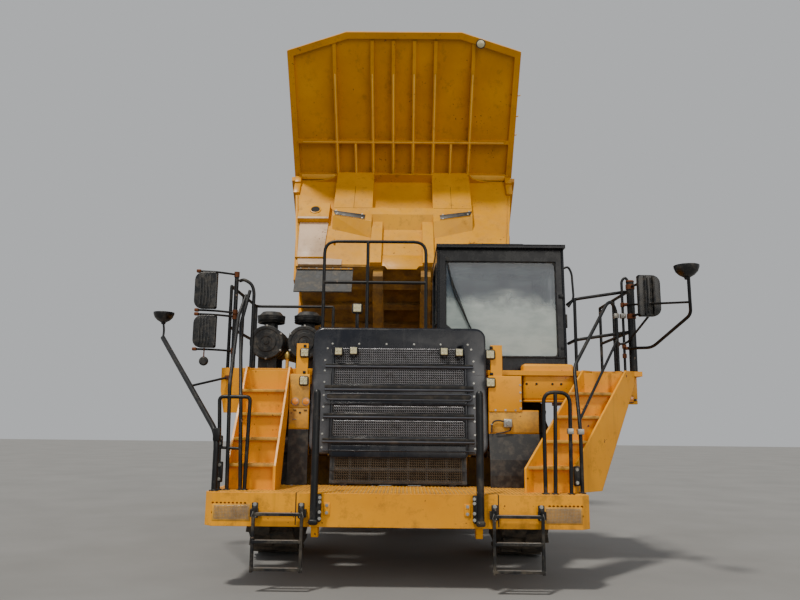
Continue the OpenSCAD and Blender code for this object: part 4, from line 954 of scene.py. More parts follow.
def make_panel_details():
    """Faces, lamps, lock and cable beside the nose."""
    parts = Parts()
    # Column on the right side of the truck, with its lamps, its lock and two slots
    parts.block((-1.318, 0.978, 1.885), (-1.085, 0.986, 2.285), "worn_yellow", 0.01)
    parts.block((-1.318, 0.983, 1.64), (-1.085, 0.996, 1.885), "worn_yellow", 0.008)
    radius = 0.047
    shell = [(-0.06, 0), (-0.06, radius * 0.8), (-0.004, radius), (0.002, radius), (0.002, radius * 0.86)]
    cover = [(-0.002, radius * 0.88), (0.006, radius * 0.8), (0.012, radius * 0.5), (0.014, 0)]
    for x in (-1.248, -1.12):
        # Slots below the lamps, dark with painted shade
        parts.centred(x, 0.02, (0.973, 1.852), (0.98, 1.862), "hollow_shade", 0.002, 1)
        parts.turn(shell, (x + 0.003, 0.972, 1.958), ahead, "steel")
        parts.turn(cover, (x + 0.003, 0.972, 1.958), ahead, "amber")
    # Hole of the lock, a dark disc of painted shade
    parts.disc((-1.185, 0.982, 1.826), 0.014, 0.006, "hollow_shade", steps=16)
    parts.block((-1.275, 0.975, 1.742), (-1.225, 0.984, 1.75), "steel", 0.002, 1)
    # Panel on the left side of the truck, with its bolted edge and the pale plate under it
    parts.block((1.085, 0.976, 1.86), (1.478, 0.986, 2.288), "yellow", 0.03, 3)
    parts.block((1.085, 0.984, 1.612), (1.678, 0.996, 1.862), "worn_yellow", 0.008)
    rows = [((1.462, 0.976, z), ahead) for z in (1.9, 1.99, 2.09, 2.18)]
    rows += [((x, 0.976, 1.878), ahead) for x in (1.16, 1.28, 1.4)]
    # Box of the cab side, with its turned edge and four holes drawn as dark discs of painted shade
    parts.block((1.536, 1.19, 2.005), (2.166, 1.402, 2.458), "yellow", 0.034, 3)
    parts.block((1.54, 1.184, 1.985), (2.16, 1.4, 2.012), "yellow", 0.008)
    for x in (1.575, 1.698, 1.894, 2.002):
        parts.disc((x, 1.1905, 2.209), 0.015, 0.004, "hollow_shade", steps=14)
    # End box with its lamp and plug
    parts.block((2.735, 1.38, 1.975), (3, 1.402, 2.35), "yellow", 0.02, 3)
    parts.block((2.825, 1.35, 1.992), (2.945, 1.382, 2.082), "dark", 0.016, 3)
    parts.block((2.833, 1.34, 2), (2.937, 1.356, 2.074), "amber", 0.014, 3)
    parts.bar([(2.965, 1.385, 2.03), (2.965, 1.352, 2.03)], 0.014, "dark", sides=12)
    parts.bar([(2.985, 1.385, 2.03), (2.985, 1.362, 2.03)], 0.01, "zinc", sides=12)
    # Junction box and its rigid conduit, clipped to the panel
    parts.block((1.252, 0.94, 1.672), (1.356, 0.984, 1.776), "zinc", 0.014, 3)
    parts.disc((1.304, 0.941, 1.724), 0.03, 0.01, "steel")
    conduit = ((1258, 962, 1745), (1190, 962, 1760), (1130, 962, 1745), (1110, 962, 1690), (1112, 965, 1612))
    parts.rail(0.009, *conduit, finish="dark", sides=8)
    branch = ((1340, 962, 1680), (1335, 962, 1640), (1270, 962, 1622), (1160, 962, 1600))
    parts.rail(0.007, *branch, finish="dark", bend=0.04, sides=8)
    parts.block((1.098, 0.95, 1.7), (1.124, 0.985, 1.716), "steel", 0.004)
    # Brackets behind the lamps beside the nose
    for x in (-1.15, 1.12):
        for z in (2.625, 2.305):
            parts.centred(x, 0.018, (0.975, z - 0.012), (1.03, z + 0.022), "rail")
    piece("panel_fittings", parts, "chassis")
    bolt_rows("panel_bolts", rows, 0.01, 0.007)


def make_front_lamps():
    parts = Parts()
    for x, z in ((-0.746, 2.575), (-0.561, 2.585), (0.55, 2.585), (0.735, 2.575)):
        led_lamp(parts, on_nose(x, z, 0.075), 0.112)
        low = on_nose(x - 0.02, z - 0.08, 0.06)
        parts.put("rail", slab(low, on_nose(x + 0.02, z - 0.05, -0.005), 0.004))
    for x, size in ((-1.15, 0.12), (1.105, 0.125)):
        for z in (2.545, 2.205):
            led_lamp(parts, at(x, 0.955, z), size, ahead)
    led_lamp(parts, at(-0.54, 1.225, hood_top + 0.255), 0.135)
    parts.centred(-0.54, 0.02, (1.24, hood_top), (1.28, hood_top + 0.19), "rail")
    made = piece("front_lamps", parts, "chassis")
    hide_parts("lamps")


# Rails, hoops and mirrors


def make_handrails():
    thick = 0.021
    thin = 0.016
    foot = 981
    deck = 2371
    top = 3430
    parts = Parts()
    # Rail on the hood's top
    parts.rail(thick, (-980, 1300, 2891), (-980, 1300, 4030), (330, 1300, 4030), (330, 1300, 2891), bend=0.16)
    parts.rail(thick, (-980, 1300, 3490), (330, 1300, 3490))
    parts.rail(thick, (-420, 1300, 2891), (-420, 1300, 4030))
    # Hoop and rails of the left stairs
    parts.rail(thick, (1578, 150, foot), (1578, 150, 2060), (1865, 150, 2055), (1852, 150, foot), bend=0.12)
    parts.rail(thick, (1682, 150, foot), (1708, 150, 2060))
    parts.rail(thick, (1995, 260, foot), (1995, 260, 1650), (2028, 600, 2370), (2590, 1150, 3210),
               (2660, 1200, 3255), (2733, 1250, 3155), (2733, 1250, deck), bend=0.1)
    parts.rail(thin, (2000, 311, 1758), (2733, 1250, 2770))
    # Rails and hoop of the right stairs
    parts.rail(thick, (-1845, 255, foot), (-1870, 255, 2120), (-1985, 1000, 3000), (-1945, 1190, 3290),
               bend=0.08)
    parts.rail(thick, (-1700, 255, foot), (-1740, 255, 1975), (-1965, 1050, 2900), (-1900, 1190, 3350),
               bend=0.08)
    parts.rail(thick, (-1940, 255, foot), (-1950, 255, 1480), (-1975, 255, 1980), (-1635, 255, 1980),
               (-1655, 255, foot))
    parts.rail(thin, (-1950, 255, 1430), (-1718, 255, 1420))
    parts.rail(thick, (-2045, 1240, 3484), (-1986, 1200, 3495), (-1885, 1200, 3440), (-1850, 1200, 3341),
               (-1850, 1200, deck), bend=0.06)
    # Rails round the decks
    for z in (2900, top):
        low = z - 110
        parts.rail(thick, (-2170, 1330, z), (-2170, 2900, z), (-1010, 2900, z), bend=0.08)
        parts.rail(thick, (2960, 2800, z), (2960, 1440, z), (2260, 1440, low), (2260, 1850, low), bend=0.08)
    posts = ((-2170, 1330), (-2170, 2040), (-2170, 2900), (-1010, 2900), (2960, 1440), (2960, 2120),
             (2960, 2800))
    for x, y in posts:
        parts.rail(thick, (x, y, deck), (x, y, top))
    parts.rail(thick, (2260, 1440, deck), (2260, 1440, top - 110))
    # Foot plates under the posts
    deck_feet = posts + ((2260, 1440), (2733, 1250), (-1850, 1200))
    walk_feet = ((1578, 150), (1682, 150), (1852, 150), (1995, 260), (-1845, 255), (-1700, 255), (-1655, 255),
                 (-1940, 255))
    for feet, half, z in ((deck_feet, 0.036, deck_top), (walk_feet, 0.034, walk_top)):
        for x, y in feet:
            parts.centred(x / 1000, half, (y / 1000 - half, z), (y / 1000 + half, z + 0.012), "rail", 0.004)
    for x in (-0.98, -0.42, 0.33):
        parts.centred(x, 0.045, (1.265, hood_top), (1.335, hood_top + 0.012), "rail", 0.004)
    made = piece("rails", parts, "chassis")
    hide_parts("handrails")


def mirror_shell(parts, low, high, round_side):
    """A flat mirror seen from its back: a ribbed shell with one side rounded, and the glass behind."""
    x0, y0, z0 = low
    x1, y1, z1 = high
    wide = 0.1
    tight = 0.025
    outline = []
    for side, up, start in ((1, 1, 0), (-1, 1, 90), (-1, -1, 180), (1, -1, 270)):
        radius = wide if side == round_side else tight
        x = (x1 if side > 0 else x0) - side * radius
        z = (z1 if up > 0 else z0) - up * radius
        for k in range(7):
            angle = math.radians(start + 90 * k / 6)
            outline.append(at(x + radius * math.cos(angle), y0, z + radius * math.sin(angle)))
    parts.put("shell", pressed(outline, y1 - y0, (0, 1, 0), 0.014))
    for share in (0.28, 0.42, 0.56, 0.7):
        x = x0 + (x1 - x0) * share
        out = y0 - 0.004
        rib = [(x, y0, z0 + 0.035), (x, out, z0 + 0.06), (x, out, z1 - 0.06), (x, y0, z1 - 0.035)]
        parts.bar(rib, 0.01, "shell", 0.02, 8)
    parts.block((x0 + 0.022, y1 - 0.002, z0 + 0.022), (x1 - 0.022, y1 + 0.004, z1 - 0.022), "mirror", 0.003)


def dome_mirror(parts, x, y, z):
    """A wide-angle mirror: a bowl with a turned lip and its glass on the flat side."""
    bowl = [(0, 0), (0, 0.128), (0.006, 0.136), (-0.014, 0.135), (-0.062, 0.117), (-0.1, 0.081),
            (-0.126, 0.036), (-0.134, 0)]
    glass = [(-0.002, 0), (-0.002, 0.124), (0.004, 0.118), (0.012, 0.06), (0.014, 0)]
    socket = [(-0.15, 0), (-0.15, 0.026), (-0.118, 0.034), (-0.11, 0)]
    parts.turn(bowl, (x, y, z), upward, "shell")
    parts.turn(glass, (x, y, z - 0.01), upward, "mirror")
    parts.turn(socket, (x, y, z), upward, "rail")


def collar(parts, radius, x, y, z, reach, sides=14):
    """A rusty clamp round an upright bar, in millimetres but for its radius."""
    parts.rail(radius, (x, y, z - reach), (x, y, z + reach), finish="rusty", sides=sides)


def make_right_mirrors():
    parts = Parts()
    mirror_shell(parts, (-2.552, 0.994, 3.086), (-2.273, 1.064, 3.55), -1)
    mirror_shell(parts, (-2.542, 0.994, 2.602), (-2.26, 1.064, 3.006), -1)
    parts.rail(0.027, (-2088, 1240, 2371), (-2088, 1240, 3600))
    for z in (3565, 3072, 3022, 2586):
        parts.rail(0.0135, (-2090, 1240, z), (-2300, 1090, z), (-2520, 1040, z), bend=0.06, sides=10)
        collar(parts, 0.034, -2088, 1240, z, 34)
        height = z / 1000
        parts.block((-2.545, 1.015, height - 0.02), (-2.49, 1.062, height + 0.02), "rusty", 0.01)
    parts.rail(0.008, (-2400, 1045, 2600), (-2400, 1045, 2480), finish="rusty", sides=8)
    small = [(-0.018, 0), (-0.018, 0.04), (0, 0.057), (0.014, 0.057), (0.014, 0)]
    parts.turn(small, (-2.4, 1.045, 2.44), (0, 1, 0), "shell")
    # Long arm of the dome mirror, its foot and its brace
    parts.rail(0.031, (-1950, 130, 981), (-1950, 130, 1580), (-3139, 1700, 2800), bend=0.16)
    parts.rail(0.014, (-3139, 1700, 2780), (-3139, 1725, 2900), (-3164, 1750, 3010))
    parts.rail(0.014, (-2480, 828, 2122), (-2115, 1146, 2250))
    parts.block((-1.995, 0.085, 0.98), (-1.905, 0.175, 0.994), "rail", 0.005)
    parts.block((-1.99, 0.1, 1.5), (-1.91, 0.16, 1.64), "rail", 0.014)
    parts.block((-2.15, 1.12, 2.225), (-2.08, 1.175, 2.275), "rusty", 0.01)
    dome_mirror(parts, -3.164, 1.75, 3.14)
    made = piece("right_mirror_set", parts, "chassis")
    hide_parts("right_mirrors")


def make_left_mirrors():
    parts = Parts()
    mirror_shell(parts, (2.876, 0.792, 3.006), (3.149, 0.862, 3.514), 1)
    parts.rail(0.049, (2945, 1310, 2371), (2945, 1310, 3530))
    cap = [(0, 0), (0, 0.052), (0.012, 0.052), (0.02, 0.044), (0.02, 0)]
    parts.turn(cap, (2.945, 1.31, 3.525), upward, "rusty")
    for z in (3460, 3080):
        parts.rail(0.0155, (2945, 1310, z), (3005, 845, z))
        collar(parts, 0.057, 2945, 1310, z, 30)
        parts.rail(0.012, (2890, 835, z), (3130, 835, z))
    for x in (2960, 3060):
        strap = ((x, 780, 3020), (x, 770, 3100), (x, 770, 3420), (x, 780, 3500))
        parts.rail(0.013, *strap, finish="shell", bend=0.03, sides=8)
    parts.rail(0.017, (2850, 1350, 2371), (2850, 1350, 3550), (2900, 1345, 3600), (2945, 1320, 3500))
    # Long arm of the dome mirror and its stays
    parts.rail(0.0185, (2885, 1310, 2675), (3045, 900, 2640), (3234, 150, 2930), (3192, 50, 3040),
               (3179, 20, 3320), bend=0.1)
    parts.rail(0.013, (2885, 1340, 3235), (3198, 80, 3056))
    parts.rail(0.014, (2750, 1300, 2722), (2870, 1290, 2736), (3080, 870, 3100), bend=0.06)
    for x, y, z in ((2850, 1350, 2700), (2850, 1350, 3235), (2850, 1350, 2580), (2750, 1290, 2722)):
        collar(parts, 0.027, x, y, z, 26, 10)
    for z in (2.675, 3.235):
        parts.block((2.85, 1.29, z - 0.018), (2.945, 1.352, z + 0.018), "rusty", 0.008)
    dome_mirror(parts, 3.164, 0.02, 3.448)
    made = piece("left_mirror_set", parts, "chassis")
    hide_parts("left_mirrors")


# Air cleaners and what stands on the hood


def make_air_cleaner_details():
    parts = Parts()
    cover = [(0, 0), (0, 0.22), (0.03, 0.22), (0.042, 0.208), (0.042, 0.176), (0.036, 0.17), (0.036, 0.128),
             (0.046, 0.122), (0.046, 0.078), (0.04, 0.072), (0.04, 0.034), (0.052, 0.03), (0.052, 0)]
    band = [(-0.016, 0), (-0.016, 0.2185), (0.016, 0.2185), (0.016, 0)]
    middle = deck_top + 0.36
    for x, far in ((-1.72, -1.44), (-1.23, -1.01)):
        parts.turn(cover, (x, 1.505, middle), ahead, "dark")
        for y in (1.62, 1.8, 1.99):
            parts.turn(band, (x, y, middle), (0, 1, 0), "rail")
            parts.centred(x, 0.02, (y - 0.014, middle + 0.214), (y + 0.014, middle + 0.236), "zinc")
        for k in range(6):
            angle = math.radians(60 * k + 30)
            up = middle + 0.213 * math.sin(angle)
            across = x + 0.213 * math.cos(angle)
            parts.centred(across, 0.014, (1.455, up - 0.014), (1.53, up + 0.014), "steel", 0.006)
        for k in range(4):
            low = 0.028 * k
            fin = [(low, 0), (low, 0.172 + 0.004 * k), (low + 0.016, 0.184), (low + 0.02, 0)]
            parts.turn(fin, (x, 1.76, deck_top + 0.64), upward, "dark")
        drain = [(x, 1.64, middle - 0.2), (x, 1.6, deck_top + 0.1), (x, 1.6, deck_top + 0.002)]
        parts.bar(drain, 0.03, "dark", sides=12)
        duct = [(x, 2.118, middle), (x, 2.3, middle), (x + 0.1, 2.55, middle - 0.06),
                (far, 2.62, middle - 0.1)]
        parts.bar(duct, 0.085, "dark", 0.14, 16)
    # Breather and plate between the two
    parts.bar([(-1.43, 1.4, deck_top), (-1.43, 1.4, deck_top + 0.15)], 0.022, "worn_yellow", sides=12)
    cap = [(0, 0), (0, 0.03), (0.05, 0.036), (0.08, 0.02), (0.1, 0)]
    parts.turn(cap, (-1.43, 1.4, deck_top + 0.14), upward, "brass")
    parts.block((-1.64, 1.33, deck_top + 0.002), (-1.08, 1.45, deck_top + 0.014), "rusty")
    piece("air_cleaner_fittings", parts, "chassis")


def make_hood_top_details():
    """Straps and latches of the low engine cover behind the nose, and the lid on it."""
    parts = Parts()
    low = hood_top - 0.09
    for y in (1.6, 2.1, 2.6):
        parts.block((-0.96, y - 0.012, low), (0.44, y + 0.012, low + 0.014), "navy")
        for near, far in ((-0.982, -0.962), (0.442, 0.462)):
            parts.block((near, y - 0.05, low - 0.2), (far, y + 0.05, low - 0.12), "zinc")
    parts.block((-0.42, 1.56, low), (0.02, 1.82, low + 0.07), "navy", 0.02, 3)
    piece("hood_fittings", parts, "chassis")


# Bed


def in_bed(x, forward, above):
    """A place in the bed, given as it lies when lowered: ahead of the hinge and above it."""
    y = -forward * math.cos(raised_by) + above * math.sin(raised_by)
    z = forward * math.sin(raised_by) + above * math.cos(raised_by)
    return at(x, hinge_y + y, hinge_z + z)


# Spaces of the bed: the whole as it lies when lowered, its front wall's face and the canopy's underside.
# On the wall, x is across, -y out of its face and z up it; under the canopy, -y is towards its lip.
bed_turn = tilted(in_bed(0, 0, 0), -raised_by)
wall_turn = bed_turn @ tilted((0, -wall_foot[0], wall_foot[1]), wall_slope)
canopy_turn = bed_turn @ tilted((0, -canopy_joint[0], canopy_joint[1]), -canopy_slope)


def turned_places(turn, places):
    """Places for bolt heads that face forwards in a space of the bed."""
    way = turn.to_3x3() @ Vector(ahead)
    return [(turn @ Vector(place), way) for place in places]


def make_bed_front_details():
    parts = Parts(wall_turn)
    face = 0.16
    buffer = ((1.366, 1.444), (0.73, 1.316), (0.739, 1.188), (1.324, 1.322))

    def bead(points, radius):
        parts.bar([(x, -out, up) for x, up, out in points], radius, "bed_yellow", 0.01, 6)

    def sheet(corners, depth, finish, back=-0.004, edge=0.004):
        parts.put(finish, pressed([(x, back, up) for x, up in corners], depth, ahead, edge))

    for side in (-1, 1):
        # Rubber buffer let into the slanted foot of the stiffener box
        sheet([(side * x, up) for x, up in buffer], 0.014, "dark", -face, 0.003)
        bead([(side * 1.372, 1.452, face + 0.004), (side * 0.722, 1.322, face + 0.004)], 0.007)
        bead([(side * 1.33, 1.312, face + 0.004), (side * 0.73, 1.178, face + 0.004)], 0.007)
        # Joints of the box's two sheets
        parts.centred(side * 0.97, 0.004, (-face - 0.0015, 1.545), (-face + 0.002, 2.255), "joint", 0.001, 1)
        near, far = sorted((side * 0.612, side * 1.358))
        parts.block((near, -face - 0.0015, 1.538), (far, -face + 0.002, 1.546), "joint", 0.001, 1)
        # Welds of the lower beams, the shelf and the wall's own edges
        for x in (side * 0.38, side * 0.6):
            bead([(x, 0.02, 0.004), (x, 1.05, 0.004)], 0.008)
        bead([(side * 1.9, 0.06, 0.004), (side * 2.08, 1.45, 0.004), (side * 2.205, 2.6, 0.004)], 0.01)
        # Corner block where the canopy meets the side wall
        near, far = sorted((side * 2.13, side * 2.262))
        parts.block((near, -0.09, 2.5), (far, 0.01, 2.7), "bed_yellow", 0.012)
        parts.block((near, -0.055, 2.18), (far, 0.005, 2.5), "bed_yellow", 0.012)
    # Outlet box with its collar, and painted shade in its mouth as a dark disc
    mouth = (-1.73, -0.121, 1.52)
    rim = [(0, 0), (0, 0.112), (0.012, 0.112), (0.016, 0.104), (0.016, 0.09), (0.008, 0.088), (0.008, 0)]
    parts.turn(rim, mouth, ahead, "bed_yellow")
    parts.turn([(0, 0), (0, 0.085), (0.0095, 0.085), (0.0095, 0)], mouth, ahead, "hollow_shade")
    # Plates below the outlet, their paint burnt pale
    sheet([(-2.02, 1.238), (-1.455, 1.238), (-1.48, 0.215), (-1.96, 0.215)], 0.022, "burnt")
    low = [(-1.955, 0.205), (-1.485, 0.205), (-1.12, 0.175), (-1.12, 0.03), (-1.925, 0.03)]
    sheet(low, 0.014, "burnt")
    parts.block((-2, -0.05, 0.198), (-1.47, 0, 0.214), "bed_yellow", 0.004)
    sill = [(-2.055, 1.3), (-1.455, 1.3), (-1.455, 1.245), (-2.055, 1.245)]
    sheet(sill, 0.006, "burnt", -0.122, 0.002)
    # Lower edge of the wall, let down between the beams
    apron = [(0.385, 0.3), (0.385, 0.01), (0.315, 0), (0.27, -0.08)]
    mirrored = [(-x, up) for x, up in apron[::-1]]
    sheet(mirrored[-1:] + apron + mirrored[:-1], 0.014, "bed_yellow")
    # Lifting eyes
    for x in (-1.3, 1.3):
        eye = [(x, 0, 0.705), (x, -0.06, 0.7), (x, -0.06, 0.62), (x, 0, 0.615)]
        parts.bar(eye, 0.012, "bed_yellow", 0.03, 8)
    piece("bed_wall_details", parts, "bed")
    heads = [(side * x, -0.175, up) for side in (-1, 1)
             for x, up in ((1.31, 1.432), (0.79, 1.325), (1.28, 1.342), (0.79, 1.205))]
    bolt_heads("buffer_bolts", turned_places(wall_turn, heads), 0.014, 0.008, "bed")


def make_canopy_details():
    parts = Parts(canopy_turn)
    under = -0.13
    ribs = (-1.36, -0.62, -0.205, 0.205, 0.62, 1.36)
    # Flat bars along the edges of the ribs, their lighter yellow a painted highlight, and fillets of weld
    # beside them
    for x in ribs:
        parts.centred(x, 0.016, (-2.14, under - 0.004), (-0.09, under + 0.004), "rib_edge_highlight", 0.003)
    for x in (-0.98, 0.98):
        parts.centred(x, 0.014, (-0.75, under - 0.004), (-0.09, under + 0.004), "rib_edge_highlight", 0.003)
    parts.centred(0, 2.06, (-0.794, under - 0.005), (-0.768, under + 0.004), "rib_edge_highlight", 0.003)
    parts.centred(0, 2.13, (-0.092, under - 0.005), (0.018, under + 0.004), "rib_edge_highlight", 0.003)
    for x in ribs:
        for edge in (x - 0.04, x + 0.04):
            parts.bar([(edge, -2.55, -0.004), (edge, -0.82, -0.004)], 0.007, "bed_yellow", sides=6)
    # Work lamp under the lip
    x, y, z = 1.48, -2.7, -0.02
    parts.centred(x, 0.05, (y - 0.03, z - 0.05), (y + 0.03, z), "steel", 0.01)
    shade = [(0, 0), (0, 0.034), (0.03, 0.078), (0.085, 0.09), (0.092, 0.084), (0.086, 0.076), (0.086, 0)]
    way = Vector((0, -0.35, -0.94))
    start = Vector((x, y + 0.01, z - 0.045))
    parts.turn(shade, start, way, "shell")
    parts.turn([(0, 0), (0, 0.074), (0.01, 0.06), (0.014, 0)], start + way * 0.086, way, "lens")
    # Hooks on the side edge
    for y in (-1.705, -1.29, -0.907):
        edge = 2.24 - 0.045 * y / 2.55
        hook = [(edge, y, 0.03), (edge + 0.055, y, 0.03), (edge + 0.08, y, 0.06), (edge + 0.08, y, 0.095)]
        parts.bar(hook, 0.01, "bed_yellow", 0.02, 8)
    piece("canopy_details", parts, "bed")


def make_bed_under_details():
    """Covers of the hinge, clamps of the rubber flaps, and lips along the floor's beams."""
    parts = Parts(bed_turn)
    heads = []
    cover = [(0, 0), (0, 0.085), (0.02, 0.085), (0.028, 0.07), (0.028, 0)]
    for side in (-1, 1):
        parts.append((turned(cover, in_bed(side * 0.561, 0, 0), (side, 0, 0)), "steel"))
        near, far = sorted((side * 0.91, side * 1.935))
        parts.block((near, -3.906, 0.31), (far, -3.896, 0.362), "floor_under", 0.004)
        heads += [(near + 0.07 + k * (far - near - 0.14) / 6, -3.906, 0.338) for k in range(7)]
        for x in (side * 0.35, side * 0.53):
            parts.bar([(x, -3.55, 0.08), (x, -0.2, 0.08)], 0.01, "floor_under", sides=6)
    piece("bed_under_details", parts, "bed")
    bolt_heads("flap_bolts", turned_places(bed_turn, heads), 0.013, 0.009, "bed")


# Cab


def cushion(name, low, high, crown, place, channels=0):
    """A padded form: crowned on top, pulled in between its corners, with sewn channels pressed into it."""
    work = slab(low, high, 0.03, 3)
    bmesh.ops.subdivide_edges(work, edges=work.edges[:], cuts=5, use_grid_fill=True)
    low, high = Vector(low), Vector(high)
    middle = (low + high) / 2
    size = (high - low) / 2
    for vert in work.verts:
        u = [(vert.co[i] - middle[i]) / size[i] for i in range(3)]
        if u[2] > 0.3:
            vert.co.z += crown * (1 - u[0] ** 2) * (1 - u[1] ** 2)
            if channels:
                wave = abs(math.sin(u[1] * channels * math.pi / 2))
                vert.co.z -= 0.012 * (1 - min(1.0, wave / 0.25)) * max(0.0, 1 - abs(u[0]) ** 4)
        for i in (0, 1):
            vert.co[i] -= 0.01 * (1 - u[1 - i] ** 2) * u[i] * abs(u[i])
    made = piece(name, [(moved(work, place), "seat")], "chassis")
    made.data.set_sharp_from_angle(angle=math.pi)


def make_cab_inside():
    """Driver's seat, wheel, dash and levers, which show through the windscreen."""
    floor = 2.48
    x = 1.28
    y = 2.07
    upright = math.radians(90 - 9)
    cushion("seat_cushion", (x - 0.255, y, floor + 0.345), (x + 0.255, y + 0.51, floor + 0.45), 0.022,
            Matrix.Translation(at(0, 0, 0)), 3)
    cushion("seat_back", (-0.245, -0.33, 0), (0.245, 0.33, 0.1), 0.022,
            tilted(at(x, y + 0.555, floor + 0.8), upright), 3)
    cushion("head_rest", (-0.13, -0.1, 0), (0.13, 0.1, 0.075), 0.014,
            tilted(at(x, y + 0.6, floor + 1.05), upright))
    # Seat's foot and bellows, its pan and arm rests, and the console beside it with its lever
    parts = Parts(Matrix.Translation(at(x, y, floor)))
    parts.centred(0, 0.18, (0.04, 0.002), (0.4, 0.12), "dark", 0.02)
    for k in range(5):
        z = 0.13 + 0.036 * k
        parts.centred(0, 0.15, (0.07, z), (0.37, z + 0.024), "dark", 0.01)
    parts.centred(0, 0.24, (0.02, 0.305), (0.49, 0.345), "dark", 0.012)
    for side in (-1, 1):
        parts.centred(side * 0.3, 0.035, (0.12, 0.6), (0.42, 0.65), "dark", 0.02, 3)
        parts.bar([(side * 0.3, 0.38, 0.605), (side * 0.27, 0.47, 0.45)], 0.014, "rail", sides=12)
    parts.block((0.36, -0.1, 0.002), (0.56, 0.42, 0.48), "dark", 0.03, 3)
    parts.bar([(0.45, 0.05, 0.47), (0.44, 0, 0.62)], 0.012, "rail", sides=12)
    knob = [(0, 0), (0, 0.022), (0.03, 0.028), (0.055, 0.016), (0.06, 0)]
    parts.turn(knob, (0.44, 0, 0.61), upward, "dark")
    # Dash with its binnacle, and the steering column
    corners = ((1.61, 0), (1.78, 0), (1.78, 0.5), (1.62, 0.545))
    dash = pressed([at(0.64, back, floor + up) for back, up in corners], 1.35, (1, 0, 0), 0.02)
    parts.append((dash, "dark"))
    parts.centred(0, 0.24, (-0.43, 0.5), (-0.27, 0.62), "dark", 0.045, 4)
    parts.centred(0, 0.19, (-0.28, 0.52), (-0.264, 0.6), "mirror", 0.01)
    parts.bar([(0, -0.29, 0.44), (0, -0.075, 0.69)], 0.032, "dark")
    # Steering wheel with its spokes and hub
    wheel = Parts(tilted(at(x, 2.015, floor + 0.705), math.radians(50)))
    around = [(math.cos(math.radians(10 * k)), math.sin(math.radians(10 * k))) for k in range(37)]
    wheel.bar([(0.205 * a, 0.205 * b, 0) for a, b in around], 0.016, "dark", 0.002, 10)
    for a, b in (around[9], around[21], around[33]):
        wheel.bar([(0.04 * a, 0.04 * b, -0.012), (0.2 * a, 0.2 * b, 0)], 0.012, "dark", sides=8)
    boss = [(-0.03, 0), (-0.03, 0.05), (0.01, 0.055), (0.022, 0.04), (0.022, 0)]
    wheel.turn(boss, (0, 0, 0), upward, "dark")
    made = piece("cab_fit_out", parts + wheel, "chassis")
    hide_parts("cab_interior")


def window_seal(parts, corners):
    """A rubber seal round four corners given in millimetres."""
    parts.rail(0.011, *corners, corners[0], finish="dark", sides=8)


def make_cab_details():
    """Seals, wiper, turned edges, rail and air unit of the cab, and the trim of its door."""
    low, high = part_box("cab_shell")
    glass_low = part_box("cab_glass")[0]
    face = glass_low.y - 0.01
    left, right = 0.59, 2.04
    foot, head = glass_low.z, 3.83
    roof = high.z
    parts = Parts()

    def on_glass(x, z, out=0.0):
        return Vector((x, face + (z - foot) / (4.0 - foot) * 0.06 - out, z))

    seal = [on_glass(left, 2.98), on_glass(left, head), on_glass(right, head), on_glass(right, foot),
            on_glass(left + 0.49, foot)]
    parts.put("dark", tube(seal + [seal[0]], 0.013, 0.07, 8))
    arm = [on_glass(0.62, 3.8, 0.03), on_glass(0.7, 3.4, 0.045), on_glass(0.93, 2.9, 0.035)]
    parts.put("rail", tube(arm, 0.01, 0.1, 8))
    parts.put("dark", tube([on_glass(0.66, 3.62, 0.026), on_glass(0.94, 2.86, 0.026)], 0.006, 0.01, 8))
    parts.put("dark", turned([(0, 0), (0, 0.036), (0.03, 0.03), (0.034, 0)], on_glass(0.62, 3.86), ahead))
    # Turned edges of the front posts, the sill and the roof
    front = low.y
    for x in (0.5, 2.13):
        parts.put("navy", tube([(x, front + 0.024, 2.4), (x, front + 0.08, 3.985)], 0.016, sides=8))
    parts.put("navy", tube([(0.5, front + 0.012, 2.56), (2.13, front + 0.012, 2.56)], 0.008, sides=8))
    edge_low = (low.x + 0.012, front - 0.004, roof - 0.02)
    parts.put("navy", slab(edge_low, (high.x - 0.085, front + 0.06, roof - 0.002), 0.008))
    parts.put("dark", slab((0.62, face + 0.045, 3.845), (2.01, face + 0.06, 3.935)))
    # Grab rail and brackets on the post, a lock, and the rubber of the side and rear windows
    parts.rail(0.015, (2133, 1500, 3737), (2200, 1490, 3765), (2245, 1490, 3680), (2262, 1490, 3340),
               (2190, 1495, 3225), sides=10)
    for z in (2.66, 3.34):
        parts.put("rail", slab((high.x - 0.135, front + 0.03, z), (high.x - 0.075, front + 0.08, z + 0.05)))
    parts.block((2.15, 1.48, 2.95), (2.172, 1.52, 3.13), "dark", 0.008)
    window_seal(parts, ((2153, 1585, 2905), (2153, 1895, 2905), (2153, 1895, 3825), (2153, 1585, 3825)))
    window_seal(parts, ((477, 1615, 3005), (477, 2635, 3005), (477, 2635, 3825), (477, 1615, 3825)))
    window_seal(parts, ((685, 2803, 3005), (1945, 2803, 3005), (1945, 2803, 3825), (685, 2803, 3825)))
    # Air unit on the roof
    parts.block((0.9, 1.86, roof - 0.001), (1.72, 2.56, roof + 0.13), "navy", 0.05, 4)
    for k in range(7):
        y = 1.93 + 0.09 * k
        parts.block((1, y, roof + 0.126), (1.62, y + 0.03, roof + 0.136), "dark", 0.004)
    piece("cab_fittings", parts, "chassis")
    parts = Parts()
    window_seal(parts, ((2153, 2053, 2905), (2153, 2627, 2905), (2153, 2627, 3795), (2153, 2053, 3795)))
    parts.block((2.148, 1.99, 3), (2.168, 2.045, 3.12), "dark", 0.008)
    piece("door_fittings", parts, "door")


# Wheels and tanks


def circle_of(centre, radius, count, way):
    """Places spaced round a circle that faces sideways."""
    angles = [2 * math.pi * k / count for k in range(count)]
    return [(centre + Vector((0, radius * math.cos(a), radius * math.sin(a))), way) for a in angles]


